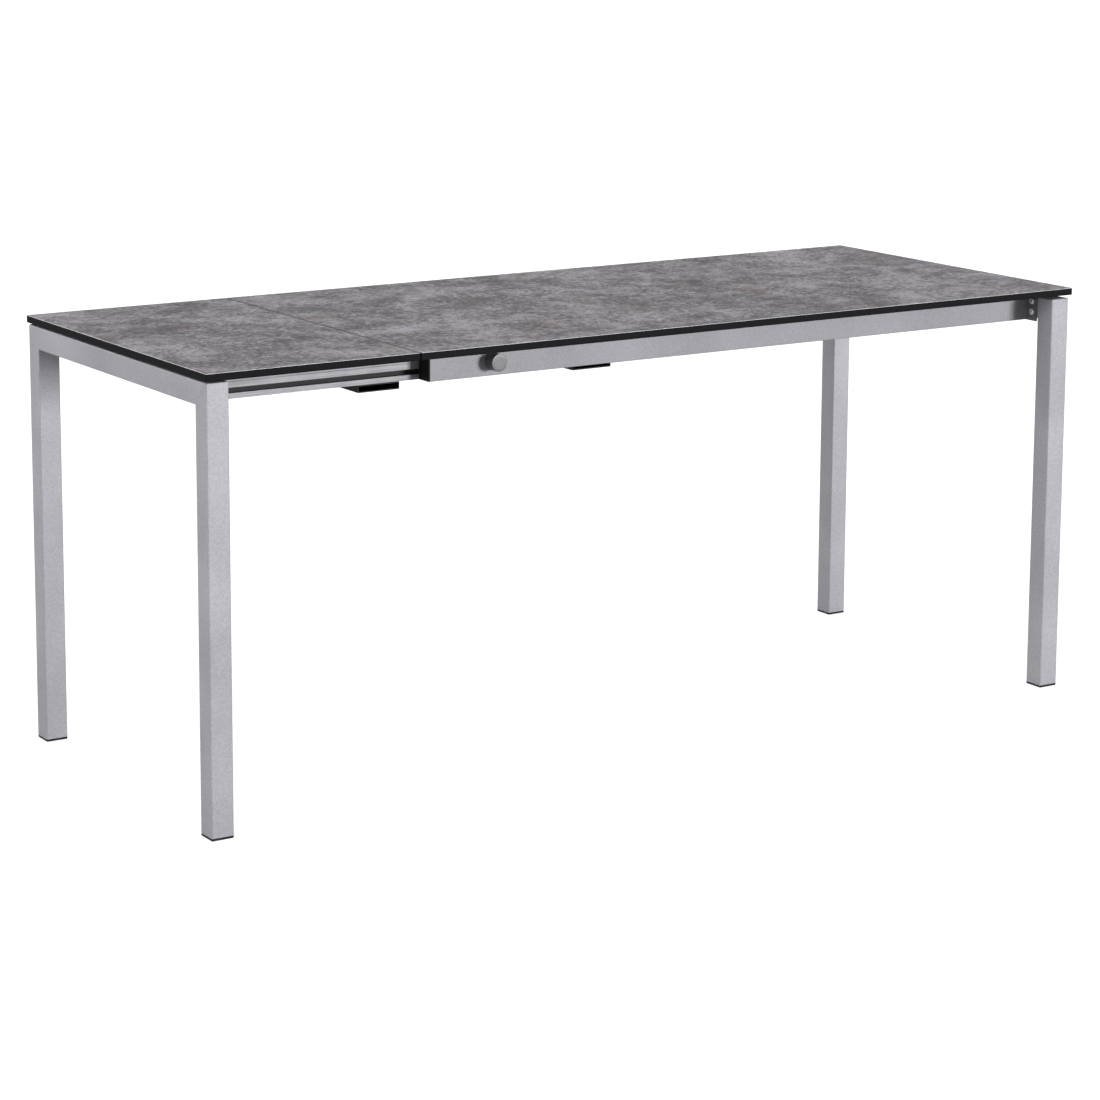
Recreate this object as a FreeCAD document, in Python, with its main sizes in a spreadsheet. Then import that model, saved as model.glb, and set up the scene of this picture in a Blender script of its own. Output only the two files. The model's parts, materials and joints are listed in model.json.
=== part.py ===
import FreeCAD, Part
import math
import os
import re

import Sketcher

# Extendable dining table with a loose extension leaf, drawn pulled out, in millimetres.
# The origin lies on the floor below the middle of the extended top. +X runs along the top
# away from the leaf, the front long side faces -Y, and +Z is up. Everything at the back is
# the mirror image of its partner at the front.

SIZES = {
    # The top.
    "table_length": 1800,
    "table_width": 700,
    "table_height": 765,
    "board_thick": 13,
    "decor_thick": 0.8,
    "decor_chamfer": 0.4,
    "core_chamfer": 1,
    "leaf_length": 390,
    "leaf_gap": 2,
    # The two leg frames: legs and crossbars of one square tube, mitred and welded.
    "leg_width": 40,
    "leg_wall": 2,
    "leg_corner": 2,
    "overhang_leaf_end": 2,
    "overhang_main_end": 5,
    "overhang_side": 4,
    "leaf_frame_gap": 3,
    "main_frame_gap": 6,
    "foot_thick": 4,
    "foot_plug": 16,
    "plug_clear": 0.2,
    # The main rails, which carry the main top.
    "rail_setback": 72,
    "rail_depth": 33,
    "rail_height": 50,
    "rail_wall": 2,
    "rail_corner": 1,
    "rail_gap": 2,
    "rail_end_clear": 10,
    "cap_thick": 3,
    "cap_plug": 12,
    "flange_thick": 4,
    # The slide rails, which run behind the main rails and carry the leg frame at the leaf.
    "slide_clear": 0.5,
    "slide_depth": 28,
    "slide_length": 998,
    "slide_wall": 2.5,
    "slot_lip": 9,
    "slot_mouth": 9,
    "channel_floor": 6,
    "channel_high": 15,
    "channel_deep": 8,
    "groove_low": 28,
    "groove_high": 40,
    "groove_half": 0.6,
    "slide_flange_reach": 34,
    # The glides in the slots and the stops behind them.
    "glide_length": 40,
    "glide_inset": 22,
    "glide_clear": 0.3,
    "stud_radius": 4,
    "stud_head": 2,
    "stop_length": 20,
    "stop_inset": 4,
    "stop_clear": 1,
    # The cradle bars below the slide rails, where the leaf is stored.
    "bar_width": 80,
    "bar_high": 13,
    "bar_wall": 1.5,
    "bar_plug": 10,
    "bar_offset": 285,
    "bar_pitch": 424,
    # Screws: flange screws are M6, board and cradle screws are M5.
    "flange_screw_radius": 3,
    "flange_screw_head": 6,
    "flange_screw_head_high": 3.5,
    "flange_screw_low": 17,
    "flange_screw_pitch": 20,
    "flange_screw_inset": 11,
    "small_screw_radius": 2.5,
    "small_screw_head": 4.6,
    "small_screw_head_high": 2.5,
    "board_screw_grip": 8,
    "board_screw_inset": 60,
    "cradle_screw_grip": 4.5,
    "cradle_screw_inset": 20,
    "screw_hole_clear": 0.3,
    "thread_clear": 0.05,
    "access_radius": 6,
    "head_rim_share": 0.3,
    "head_crown_share": 0.62,
    "hex_share": 0.38,
    "socket_deep": 2,
    "insert_radius": 4.5,
    "insert_bulge": 6,
    "insert_length": 12,
    "insert_crimp": 3,
    "insert_taper": 4,
    # The locks.
    "lock_offset": 124,
    "lock_screw_radius": 4,
    "lock_bore_clear": 0.1,
    "lock_nut_radius": 8,
    "lock_nut_length": 10,
    "lock_pad_radius": 7,
    "lock_pad_thick": 5.5,
    "lock_pad_recess": 2.3,
    "lock_pad_clear": 0.3,
    "lock_hole_clear": 0.5,
    "tip_clear": 0.2,
    "knob_radius": 15,
    "knob_length": 23,
    "knob_gap": 1,
    "knob_grip": 14,
    "knob_chamfer": 1.5,
    # Rubber pads.
    "pad_length": 60,
    "pad_width": 20,
    "pad_clear": 0.3,
    "crossbar_pad_place": 200,
    "leaf_pad_offset": 75,
    "leaf_pad_pitch": 200,
}

# Places that several pieces share, as formulas of the sizes above.
LEAF_END = "(0 - table_length / 2)"
MAIN_END = "(table_length / 2)"
FRONT_EDGE = "(0 - table_width / 2)"
MAIN_TOP_X = f"({LEAF_END} + leaf_length + leaf_gap)"
BOARD_UNDER = "(table_height - board_thick)"
CORE_THICK = "(board_thick - decor_thick)"

LEAF_LEG_X = f"({LEAF_END} + overhang_leaf_end)"
MAIN_LEG_X = f"({MAIN_END} - overhang_main_end - leg_width)"
LEG_Y = f"({FRONT_EDGE} + overhang_side)"
LEAF_FRAME_TOP = f"({BOARD_UNDER} - leaf_frame_gap)"
MAIN_FRAME_TOP = f"({BOARD_UNDER} - main_frame_gap)"
CROSSBAR_LENGTH = "(table_width - 2 * overhang_side)"

RAIL_Y = f"({FRONT_EDGE} + rail_setback)"
RAIL_BACK = f"({RAIL_Y} + rail_depth)"
RAIL_TOP = f"({BOARD_UNDER} - rail_gap)"
RAIL_Z = f"({RAIL_TOP} - rail_height)"
CAP_X = f"({MAIN_TOP_X} + overhang_leaf_end + leg_width + flange_thick + rail_end_clear)"
RAIL_X = f"({CAP_X} + cap_thick)"
FLANGE_X = f"({MAIN_LEG_X} - flange_thick)"
RAIL_LENGTH = f"({FLANGE_X} - {RAIL_X})"

SLIDE_Y = f"({RAIL_BACK} + slide_clear)"
SLIDE_BACK = f"({SLIDE_Y} + slide_depth)"
SLIDE_FLANGE_X = f"({LEAF_LEG_X} + leg_width)"
SLIDE_X = f"({SLIDE_FLANGE_X} + flange_thick)"
SLIDE_END = f"({SLIDE_X} + slide_length)"
SLIDE_FLANGE_WIDE = "(slide_depth + slide_flange_reach)"
SLIDE_SCREW_Y = f"({SLIDE_BACK} + slide_flange_reach / 2)"
STOP_X = f"({SLIDE_END} - stop_inset - stop_length)"
BAR_Z = f"({RAIL_Z} - bar_high)"
BAR_LENGTH = "(table_width - 2 * (rail_setback + rail_depth + slide_clear))"
GLIDE_HEIGHT = "(channel_floor + channel_high / 2)"

FLANGE_Y = f"({LEG_Y} + leg_width)"
FLANGE_WIDE = f"({RAIL_BACK} - {FLANGE_Y})"
RAIL_SCREW_Y = f"({FLANGE_Y} + flange_screw_inset)"
FLANGE_SCREW_LENGTH = "(flange_thick + insert_length)"
SMALL_HOLE = "(small_screw_radius + screw_hole_clear)"

LOCK_X = f"({CAP_X} + lock_offset)"
LOCK_Z = f"({RAIL_Z} + rail_height / 2)"
LOCK_PAD_FACE = f"({SLIDE_Y} - lock_pad_clear)"
LOCK_TIP_Y = f"({LOCK_PAD_FACE} - lock_pad_thick + lock_pad_recess - tip_clear)"
KNOB_BACK = f"({RAIL_Y} - knob_gap)"

BOARD_SCREWS_PER_RAIL = 4
BOARD_SCREW_PITCH = f"(({RAIL_LENGTH} - 2 * board_screw_inset) / {BOARD_SCREWS_PER_RAIL - 1})"

# Two places closer than TOUCH meet, an edge this STRAIGHT runs along an axis, and only the
# edges along a board's sides are longer than LONG_EDGE.
TOUCH = 1e-6
STRAIGHT = 0.999
LONG_EDGE = 20

QUARTER_ABOUT_X = FreeCAD.Rotation(FreeCAD.Vector(1, 0, 0), 90)
QUARTER_ABOUT_Y = FreeCAD.Rotation(FreeCAD.Vector(0, 1, 0), 90)
QUARTER_BACK_Y = FreeCAD.Rotation(FreeCAD.Vector(0, 1, 0), -90)
HALF_ABOUT_Z = FreeCAD.Rotation(FreeCAD.Vector(0, 0, 1), 180)
UPRIGHT = FreeCAD.Rotation()

doc = FreeCAD.newDocument("extendable_dining_table")
sheet = doc.addObject("Spreadsheet::Sheet", "Sizes")
for row, (alias, value) in enumerate(SIZES.items(), start=1):
    sheet.set(f"A{row}", str(value))
    sheet.setAlias(f"A{row}", alias)
doc.recompute()

nodes = []


def formula(text):
    """Point every size name in a formula at its cell of the sheet."""
    return re.sub(r"[a-z_]+", lambda word: f"Sizes.{word.group()}", text)


def bind(target, **formulas):
    """Bind properties of an object to formulas of the sizes."""
    for name, text in formulas.items():
        target.setExpression(name, formula(text))


def place(target, x, y, z, turn=UPRIGHT):
    """Put an object at a place given by three formulas, turned by a rotation."""
    target.Placement = FreeCAD.Placement(FreeCAD.Vector(), turn)
    for axis, text in zip("xyz", (x, y, z)):
        target.setExpression(f"Placement.Base.{axis}", formula(text))
    return target


def keep(label, target):
    """Name an object as a node of the part."""
    target.Label = label
    nodes.append(target)
    return target


# Sketches and PartDesign features.


def start_body(name):
    """Start a PartDesign body."""
    return doc.addObject("PartDesign::Body", name)


def sketch_on(body, role):
    """Start a sketch on one of the body's own origin planes."""
    sketch = body.newObject("Sketcher::SketchObject", f"{body.Name}_sketch")
    planes = [item for item in body.Origin.OriginFeatures if item.Role == role]
    sketch.AttachmentSupport = [(planes[0], "")]
    sketch.MapMode = "FlatFace"
    return sketch


def hold_point(sketch, line, end, across, up):
    """Hold one point of the sketch at two formulas, measured from the sketch's origin."""
    for kind, text, axis in (("DistanceX", across, -2), ("DistanceY", up, -1)):
        if text == "0":
            sketch.addConstraint(Sketcher.Constraint("PointOnObject", line, end, axis))
            continue
        held = Sketcher.Constraint(kind, -1, 1, line, end, 1.0)
        number = sketch.addConstraint(held)
        sketch.setExpression(f"Constraints[{number}]", formula(text))


def outline(sketch, corners):
    """Draw a closed outline through corners, each a pair of formulas."""
    first = sketch.GeometryCount
    count = len(corners)
    turns = [2 * math.pi * number / count for number in range(count)]
    points = [FreeCAD.Vector(math.cos(turn), math.sin(turn), 0) for turn in turns]
    for number in range(count):
        sketch.addGeometry(Part.LineSegment(points[number], points[(number + 1) % count]))
    for number in range(count):
        following = first + (number + 1) % count
        joined = Sketcher.Constraint("Coincident", first + number, 2, following, 1)
        sketch.addConstraint(joined)
    for number, (across, up) in enumerate(corners):
        hold_point(sketch, first + number, 1, across, up)


def rectangle(sketch, left, low, right, high):
    """Draw a rectangle between two corners given by formulas."""
    outline(sketch, [(left, low), (right, low), (right, high), (left, high)])


def circle(sketch, across, up, radius):
    """Draw a circle of a given radius about a point."""
    round_line = Part.Circle(FreeCAD.Vector(1, 1, 0), FreeCAD.Vector(0, 0, 1), 1.0)
    number = sketch.addGeometry(round_line)
    hold_point(sketch, number, 3, across, up)
    size = sketch.addConstraint(Sketcher.Constraint("Radius", number, 1.0))
    sketch.setExpression(f"Constraints[{size}]", formula(radius))


def pad(body, sketch, length, backwards=False):
    """Pad a sketch by a length, along its normal or backwards."""
    feature = body.newObject("PartDesign::Pad", f"{body.Name}_pad")
    feature.Profile = sketch
    feature.Reversed = backwards
    bind(feature, Length=length)
    doc.recompute()
    return feature


def pocket(body, sketch, depth, backwards=False):
    """Cut a sketch out of the body, against its normal or backwards, and check that it cut."""
    before = body.Tip.Shape.Volume
    feature = body.newObject("PartDesign::Pocket", f"{body.Name}_pocket")
    feature.Profile = sketch
    feature.Reversed = backwards
    bind(feature, Length=depth)
    doc.recompute()
    if not feature.Shape.Volume < before:
        raise RuntimeError(f"a pocket of {body.Name} cuts nothing")
    return feature


def revolve(body, sketch):
    """Turn a sketch on the XZ plane about the body's own Z axis."""
    feature = body.newObject("PartDesign::Revolution", f"{body.Name}_revolution")
    feature.Profile = sketch
    feature.ReferenceAxis = (sketch, ["V_Axis"])
    feature.Angle = 360
    doc.recompute()
    return feature


def dress(body, kind, size, wanted):
    """Put a Fillet or a Chamfer on the edges of the body that a test wants."""
    base = body.Tip
    edges = enumerate(base.Shape.Edges, start=1)
    names = [f"Edge{number}" for number, edge in edges if wanted(edge)]
    feature = body.newObject(f"PartDesign::{kind}", f"{body.Name}_{kind.lower()}")
    feature.Base = (base, names)
    bind(feature, **{"Radius" if kind == "Fillet" else "Size": size})
    doc.recompute()
    return feature


def outer_edges_along(axis, base):
    """A test for straight edges along an axis that lie on two sides of the base's box."""
    box = base.Shape.BoundBox
    limits = {"x": (box.XMin, box.XMax), "y": (box.YMin, box.YMax), "z": (box.ZMin, box.ZMax)}
    others = [name for name in "xyz" if name != axis]

    def wanted(edge):
        ends = [vertex.Point for vertex in edge.Vertexes]
        if len(ends) != 2:
            return False
        run = ends[1] - ends[0]
        if abs(getattr(run, axis)) < STRAIGHT * run.Length:
            return False
        offsets = [min(abs(getattr(ends[0], n) - side) for side in limits[n]) for n in others]
        return max(offsets) < TOUCH

    return wanted


def edges_round(level):
    """A test for the edges of a board's outline that lie at one height."""

    def wanted(edge):
        box = edge.BoundBox
        long = max(box.XLength, box.YLength) > LONG_EDGE
        return long and abs(box.ZMin - level) < TOUCH and abs(box.ZMax - level) < TOUCH

    return wanted


# Primitives, booleans, groups and mirror images.


def box(name, length, width, high, x, y, z):
    """A box with one corner at a place."""
    solid = doc.addObject("Part::Box", name)
    bind(solid, Length=length, Width=width, Height=high)
    return place(solid, x, y, z)


def cylinder(name, radius, high, x, y, z, turn=UPRIGHT):
    """A cylinder that starts at a place and runs along the turned Z axis."""
    solid = doc.addObject("Part::Cylinder", name)
    bind(solid, Radius=radius, Height=high)
    return place(solid, x, y, z, turn)


def fuse(name, pieces):
    """One solid made of several that meet."""
    joined = doc.addObject("Part::MultiFuse", name)
    joined.Shapes = pieces
    return joined


def cut(name, base, tool):
    """A solid with another one taken away."""
    left = doc.addObject("Part::Cut", name)
    left.Base = base
    left.Tool = tool
    return left


def group(name, pieces):
    """Separate solids that share one node."""
    together = doc.addObject("Part::Compound", name)
    together.Links = pieces
    return together


def mirrored(name, source):
    """The same piece on the other side of the table."""
    image = doc.addObject("Part::Mirroring", name)
    image.Source = source
    image.Base = FreeCAD.Vector()
    image.Normal = FreeCAD.Vector(0, 1, 0)
    return image


def keep_pair(name, front):
    """Keep a front piece and its mirror image as front_NAME and back_NAME."""
    keep(f"front_{name}", front)
    return keep(f"back_{name}", mirrored(f"back_{name}", front))


def keep_both(name, front):
    """Keep a front group and its mirror image as one node."""
    back = mirrored(f"{name}_back", front)
    return keep(name, group(name, [front, back]))


def copies(name, seed, places, turn=UPRIGHT):
    """Copies of one fastener at several places, as one group."""
    links = []
    for number, (x, y, z) in enumerate(places, start=1):
        link = doc.addObject("App::Link", f"{name}_{number}")
        link.LinkedObject = seed
        links.append(place(link, x, y, z, turn))
    return group(f"{name}_group", links)


# Fasteners. Each seed stands at the origin with its tip down, and its copies are placed.


def make_screw_seed(name, radius, length, head, head_high):
    """A button-head screw: the shank runs from 0 to its length, and the head sits on top."""
    body = start_body(f"{name}_turned")
    sketch = sketch_on(body, "XZ_Plane")
    corners = [
        ("0", "0"),
        (radius, "0"),
        (radius, length),
        (head, length),
        (head, f"{length} + {head_high} * head_rim_share"),
        (f"{head} * head_crown_share", f"{length} + {head_high}"),
        ("0", f"{length} + {head_high}"),
    ]
    outline(sketch, corners)
    revolve(body, sketch)
    socket = doc.addObject("Part::Prism", f"{name}_socket")
    socket.Polygon = 6
    bind(socket, Circumradius=f"{head} * hex_share", Height="socket_deep")
    place(socket, "0", "0", f"{length} + {head_high} - socket_deep")
    return cut(f"{name}_seed", body, socket)


def make_insert_seed():
    """A blind rivet nut: flush with the tube's face, with its crimped bulge behind the wall."""
    body = start_body("insert_seed")
    sketch = sketch_on(body, "XZ_Plane")
    bore = "flange_screw_radius + thread_clear"
    corners = [
        (bore, "0"),
        ("insert_radius", "0"),
        ("insert_radius", "leg_wall"),
        ("insert_bulge", "leg_wall"),
        ("insert_bulge", "leg_wall + insert_crimp"),
        ("insert_radius", "leg_wall + insert_taper"),
        ("insert_radius", "insert_length"),
        (bore, "insert_length"),
    ]
    outline(sketch, corners)
    revolve(body, sketch)
    return body


def flange_screw_heights():
    """The heights of the two screws of every flange."""
    low = f"{RAIL_Z} + flange_screw_low"
    return [low, f"{low} + flange_screw_pitch"]


# The top.


def make_core(name, x, length, holes):
    """A compact board below its decor sheet, with blind screw holes in its underside."""
    body = start_body(name)
    sketch = sketch_on(body, "XY_Plane")
    rectangle(sketch, "0", "0", length, "table_width")
    pad(body, sketch, CORE_THICK)
    dress(body, "Chamfer", "core_chamfer", edges_round(0))
    if holes:
        drilled = sketch_on(body, "XY_Plane")
        for across, up in holes:
            circle(drilled, across, up, "small_screw_radius")
        pocket(body, drilled, "board_screw_grip", backwards=True)
    place(body, x, FRONT_EDGE, BOARD_UNDER)
    return keep(name, body)


def make_decor(name, x, length):
    """The hard decor sheet pressed onto a board, with a fine chamfer round its upper face."""
    body = start_body(name)
    sketch = sketch_on(body, "XY_Plane")
    rectangle(sketch, "0", "0", length, "table_width")
    pad(body, sketch, "decor_thick")
    top = body.Tip.Shape.BoundBox.ZMax
    dress(body, "Chamfer", "decor_chamfer", edges_round(top))
    place(body, x, FRONT_EDGE, f"{BOARD_UNDER} + {CORE_THICK}")
    return keep(name, body)


def board_screw_places():
    """Where the front row of board screws stands, along X, in the row frame."""
    start = f"{RAIL_X} + board_screw_inset"
    return [f"({start} + {number} * {BOARD_SCREW_PITCH})" for number in range(BOARD_SCREWS_PER_RAIL)]


def make_top():
    """The main top and the extension leaf."""
    main_length = f"({MAIN_END} - {MAIN_TOP_X})"
    middle = "rail_setback + rail_depth / 2"
    rows = [middle, f"table_width - ({middle})"]
    holes = [(f"{x} - {MAIN_TOP_X}", y) for x in board_screw_places() for y in rows]
    make_core("main_top", MAIN_TOP_X, main_length, holes)
    make_decor("main_top_decor", MAIN_TOP_X, main_length)
    make_core("extension_leaf", LEAF_END, "leaf_length", [])
    make_decor("extension_leaf_decor", LEAF_END, "leaf_length")


# The leg frames.


def square_tube(body, role, length, backwards):
    """Pad a square tube with rounded outer edges from a plane of the body."""
    sketch = sketch_on(body, role)
    rectangle(sketch, "0", "0", "leg_width", "leg_width")
    inner = "leg_width - leg_wall"
    rectangle(sketch, "leg_wall", "leg_wall", inner, inner)
    feature = pad(body, sketch, length, backwards)
    axis = "z" if role == "XY_Plane" else "y"
    dress(body, "Fillet", "leg_corner", outer_edges_along(axis, feature))


def make_leg(name, x, top):
    """A front leg, mitred at its top for the crossbar behind it, and its partner at the back."""
    body = start_body(f"front_{name}")
    length = f"({top} - foot_thick)"
    square_tube(body, "XY_Plane", length, False)
    mitre = sketch_on(body, "YZ_Plane")
    outline(mitre, [("0", length), ("leg_width", f"{length} - leg_width"), ("leg_width", length)])
    pocket(body, mitre, "leg_width", backwards=True)
    place(body, x, LEG_Y, "foot_thick")
    keep_pair(name, body)


def make_foot(name, x):
    """A square plastic glide whose plug sits in the end of the leg, and its partner."""
    sole = box(f"{name}_sole", "leg_width", "leg_width", "foot_thick", x, LEG_Y, "0")
    rounded = doc.addObject("Part::Fillet", f"{name}_rounded")
    rounded.Base = sole
    doc.recompute()
    wanted = outer_edges_along("z", sole)
    edges = enumerate(sole.Shape.Edges, start=1)
    corner = SIZES["leg_corner"]
    rounded.Edges = [(number, corner, corner) for number, edge in edges if wanted(edge)]
    inset = "(leg_wall + plug_clear)"
    wide = f"leg_width - 2 * {inset}"
    spot = (f"{x} + {inset}", f"{LEG_Y} + {inset}", "foot_thick")
    plug = box(f"{name}_plug", wide, wide, "foot_plug", *spot)
    keep_pair(name, fuse(f"front_{name}", [rounded, plug]))


def make_crossbar(name, spot, hole_y, turn):
    """A mitred crossbar at a spot, with holes for the rivet nuts in its inner wall."""
    body = start_body(name)
    square_tube(body, "XZ_Plane", CROSSBAR_LENGTH, True)
    for near, far in (("0", "leg_width"), (CROSSBAR_LENGTH, f"{CROSSBAR_LENGTH} - leg_width")):
        mitre = sketch_on(body, "YZ_Plane")
        outline(mitre, [(near, "0"), (far, "0"), (near, "leg_width")])
        pocket(body, mitre, "leg_width", backwards=True)
    holes = sketch_on(body, "YZ_Plane")
    for z in flange_screw_heights():
        for across in (f"{hole_y} - {LEG_Y}", f"{CROSSBAR_LENGTH} - ({hole_y} - {LEG_Y})"):
            circle(holes, across, f"{z} - {spot[2]}", "insert_radius")
    pocket(body, holes, "2 * leg_wall", backwards=True)
    place(body, *spot, turn)
    return keep(name, body)


def make_leg_frames():
    """Both welded leg frames with their feet."""
    for name, x, top in (
        ("left", LEAF_LEG_X, LEAF_FRAME_TOP),
        ("right", MAIN_LEG_X, MAIN_FRAME_TOP),
    ):
        make_leg(f"{name}_leg", x, top)
        make_foot(f"{name}_foot", x)
    spot = (MAIN_LEG_X, LEG_Y, f"({MAIN_FRAME_TOP} - leg_width)")
    make_crossbar("right_crossbar", spot, RAIL_SCREW_Y, UPRIGHT)
    spot = (SLIDE_FLANGE_X, f"0 - {LEG_Y}", f"({LEAF_FRAME_TOP} - leg_width)")
    make_crossbar("left_crossbar", spot, SLIDE_SCREW_Y, HALF_ABOUT_Z)


# The main rails.


def make_main_rails():
    """Rectangular tubes, drilled for the board screws, the glides and the lock."""
    body = start_body("front_main_rail")
    section = sketch_on(body, "YZ_Plane")
    rectangle(section, "0", "0", "rail_depth", "rail_height")
    rectangle(section, "rail_wall", "rail_wall", "rail_depth - rail_wall", "rail_height - rail_wall")
    tube = pad(body, section, RAIL_LENGTH)
    dress(body, "Fillet", "rail_corner", outer_edges_along("x", tube))
    spots = [f"{x} - {RAIL_X}" for x in board_screw_places()]
    for radius, depth in ((SMALL_HOLE, "rail_height"), ("access_radius", "2 * rail_wall")):
        holes = sketch_on(body, "XY_Plane")
        for spot in spots:
            circle(holes, spot, "rail_depth / 2", radius)
        pocket(body, holes, depth, backwards=True)
    lock = (f"{LOCK_X} - {RAIL_X}", "rail_height / 2")
    front = sketch_on(body, "XZ_Plane")
    circle(front, *lock, "lock_screw_radius + screw_hole_clear")
    pocket(body, front, "2 * rail_wall")
    back = sketch_on(body, "XZ_Plane")
    back.AttachmentOffset = FreeCAD.Placement(FreeCAD.Vector(), UPRIGHT)
    back.setExpression("AttachmentOffset.Base.z", formula("0 - rail_depth"))
    circle(back, *lock, "lock_pad_radius + lock_hole_clear")
    for x in glide_places():
        circle(back, f"{x} + glide_length / 2 - {RAIL_X}", GLIDE_HEIGHT, "stud_radius")
    pocket(body, back, "2 * rail_wall", backwards=True)
    place(body, RAIL_X, RAIL_Y, RAIL_Z)
    keep_pair("main_rail", body)


def make_rail_end_caps():
    """Black caps on the ends of the main rails at the leaf, each with a plug in the tube."""
    face = box("rail_cap_face", "cap_thick", "rail_depth", "rail_height", CAP_X, RAIL_Y, RAIL_Z)
    inset = "(rail_wall + plug_clear)"
    size = ("cap_plug", f"rail_depth - 2 * {inset}", f"rail_height - 2 * {inset}")
    plug = box("rail_cap_plug", *size, RAIL_X, f"{RAIL_Y} + {inset}", f"{RAIL_Z} + {inset}")
    keep_pair("rail_end_cap", fuse("front_rail_end_cap", [face, plug]))


def make_flange(name, x, y, wide, hole):
    """A plate across the end of a rail with two screw holes at a place along it."""
    body = start_body(f"front_{name}")
    sketch = sketch_on(body, "YZ_Plane")
    rectangle(sketch, "0", "0", wide, "rail_height")
    for z in flange_screw_heights():
        radius = "flange_screw_radius + screw_hole_clear"
        circle(sketch, hole, f"{z} - {RAIL_Z}", radius)
    pad(body, sketch, "flange_thick")
    place(body, x, y, RAIL_Z)
    keep_pair(name, body)


def make_flanges():
    """The flanges of the main rails and of the slide rails."""
    make_flange("rail_flange", FLANGE_X, FLANGE_Y, FLANGE_WIDE, "flange_screw_inset")
    inner_hole = "slide_depth + slide_flange_reach / 2"
    make_flange("slide_flange", SLIDE_FLANGE_X, SLIDE_Y, SLIDE_FLANGE_WIDE, inner_hole)


def make_flange_fasteners():
    """Screws through the flanges into rivet nuts in the crossbars."""
    length = FLANGE_SCREW_LENGTH
    sizes = ("flange_screw_radius", length, "flange_screw_head", "flange_screw_head_high")
    screw = make_screw_seed("flange_screw", *sizes)
    insert = make_insert_seed()
    heights = flange_screw_heights()
    tip = f"{FLANGE_X} + {length}"
    places = [(tip, RAIL_SCREW_Y, z) for z in heights]
    front = copies("front_flange_screws", screw, places, QUARTER_BACK_Y)
    keep_pair("flange_screws", front)
    tip = f"{SLIDE_X} - {length}"
    places = [(tip, SLIDE_SCREW_Y, z) for z in heights]
    keep_both("slide_flange_screws", copies("slide_flange_screw", screw, places, QUARTER_ABOUT_Y))
    places = [(MAIN_LEG_X, RAIL_SCREW_Y, z) for z in heights]
    keep_both("right_rivet_nuts", copies("right_rivet_nut", insert, places, QUARTER_ABOUT_Y))
    places = [(SLIDE_FLANGE_X, SLIDE_SCREW_Y, z) for z in heights]
    keep_both("left_rivet_nuts", copies("left_rivet_nut", insert, places, QUARTER_BACK_Y))


# The slide rails and what runs in them.


def glide_places():
    """Where the two glides of a main rail start, along X."""
    far = f"({STOP_X} - stop_clear - glide_length)"
    return [f"({CAP_X} + glide_inset)", far]


def make_slide_rails():
    """Extruded rails with a T-slot for the glides and two fine grooves along the front."""
    body = start_body("front_slide_rail")
    section = sketch_on(body, "YZ_Plane")
    slot_top = "slot_lip + slot_mouth"
    channel_top = "channel_floor + channel_high"
    channel_back = "slide_wall + channel_deep"
    corners = [
        ("0", "0"),
        ("slide_depth", "0"),
        ("slide_depth", "rail_height"),
        ("0", "rail_height"),
    ]
    for groove in ("groove_high", "groove_low"):
        corners += [
            ("0", f"{groove} + groove_half"),
            ("groove_half", groove),
            ("0", f"{groove} - groove_half"),
        ]
    corners += [
        ("0", slot_top),
        ("slide_wall", slot_top),
        ("slide_wall", channel_top),
        (channel_back, channel_top),
        (channel_back, "channel_floor"),
        ("slide_wall", "channel_floor"),
        ("slide_wall", "slot_lip"),
        ("0", "slot_lip"),
    ]
    outline(section, corners)
    inner_back = "slide_depth - slide_wall"
    upper_floor = f"{channel_top} + slide_wall"
    rectangle(section, "slide_wall", upper_floor, inner_back, "rail_height - slide_wall")
    rectangle(section, f"{channel_back} + slide_wall", "channel_floor", inner_back, channel_top)
    pad(body, section, "slide_length")
    holes = sketch_on(body, "XY_Plane")
    for x, y in cradle_screw_places():
        circle(holes, f"{x} - {SLIDE_X}", f"{y} - {SLIDE_Y}", "small_screw_radius")
    pocket(body, holes, "cradle_screw_grip", backwards=True)
    place(body, SLIDE_X, SLIDE_Y, RAIL_Z)
    keep_pair("slide_rail", body)


def make_slide_rail_end_caps():
    """Black caps on the inner ends of the slide rails, with a plug in the upper chamber."""
    face = box("slide_cap_face", "cap_thick", "slide_depth", "rail_height", SLIDE_END, SLIDE_Y, RAIL_Z)
    inset = "(slide_wall + plug_clear)"
    floor = f"(channel_floor + channel_high + {inset})"
    size = ("cap_plug", f"slide_depth - 2 * {inset}", f"rail_height - {floor} - {inset}")
    spot = (f"{SLIDE_END} - cap_plug", f"{SLIDE_Y} + {inset}", f"{RAIL_Z} + {floor}")
    plug = box("slide_cap_plug", *size, *spot)
    keep_both("slide_rail_end_caps", fuse("slide_rail_end_cap_front", [face, plug]))


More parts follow.
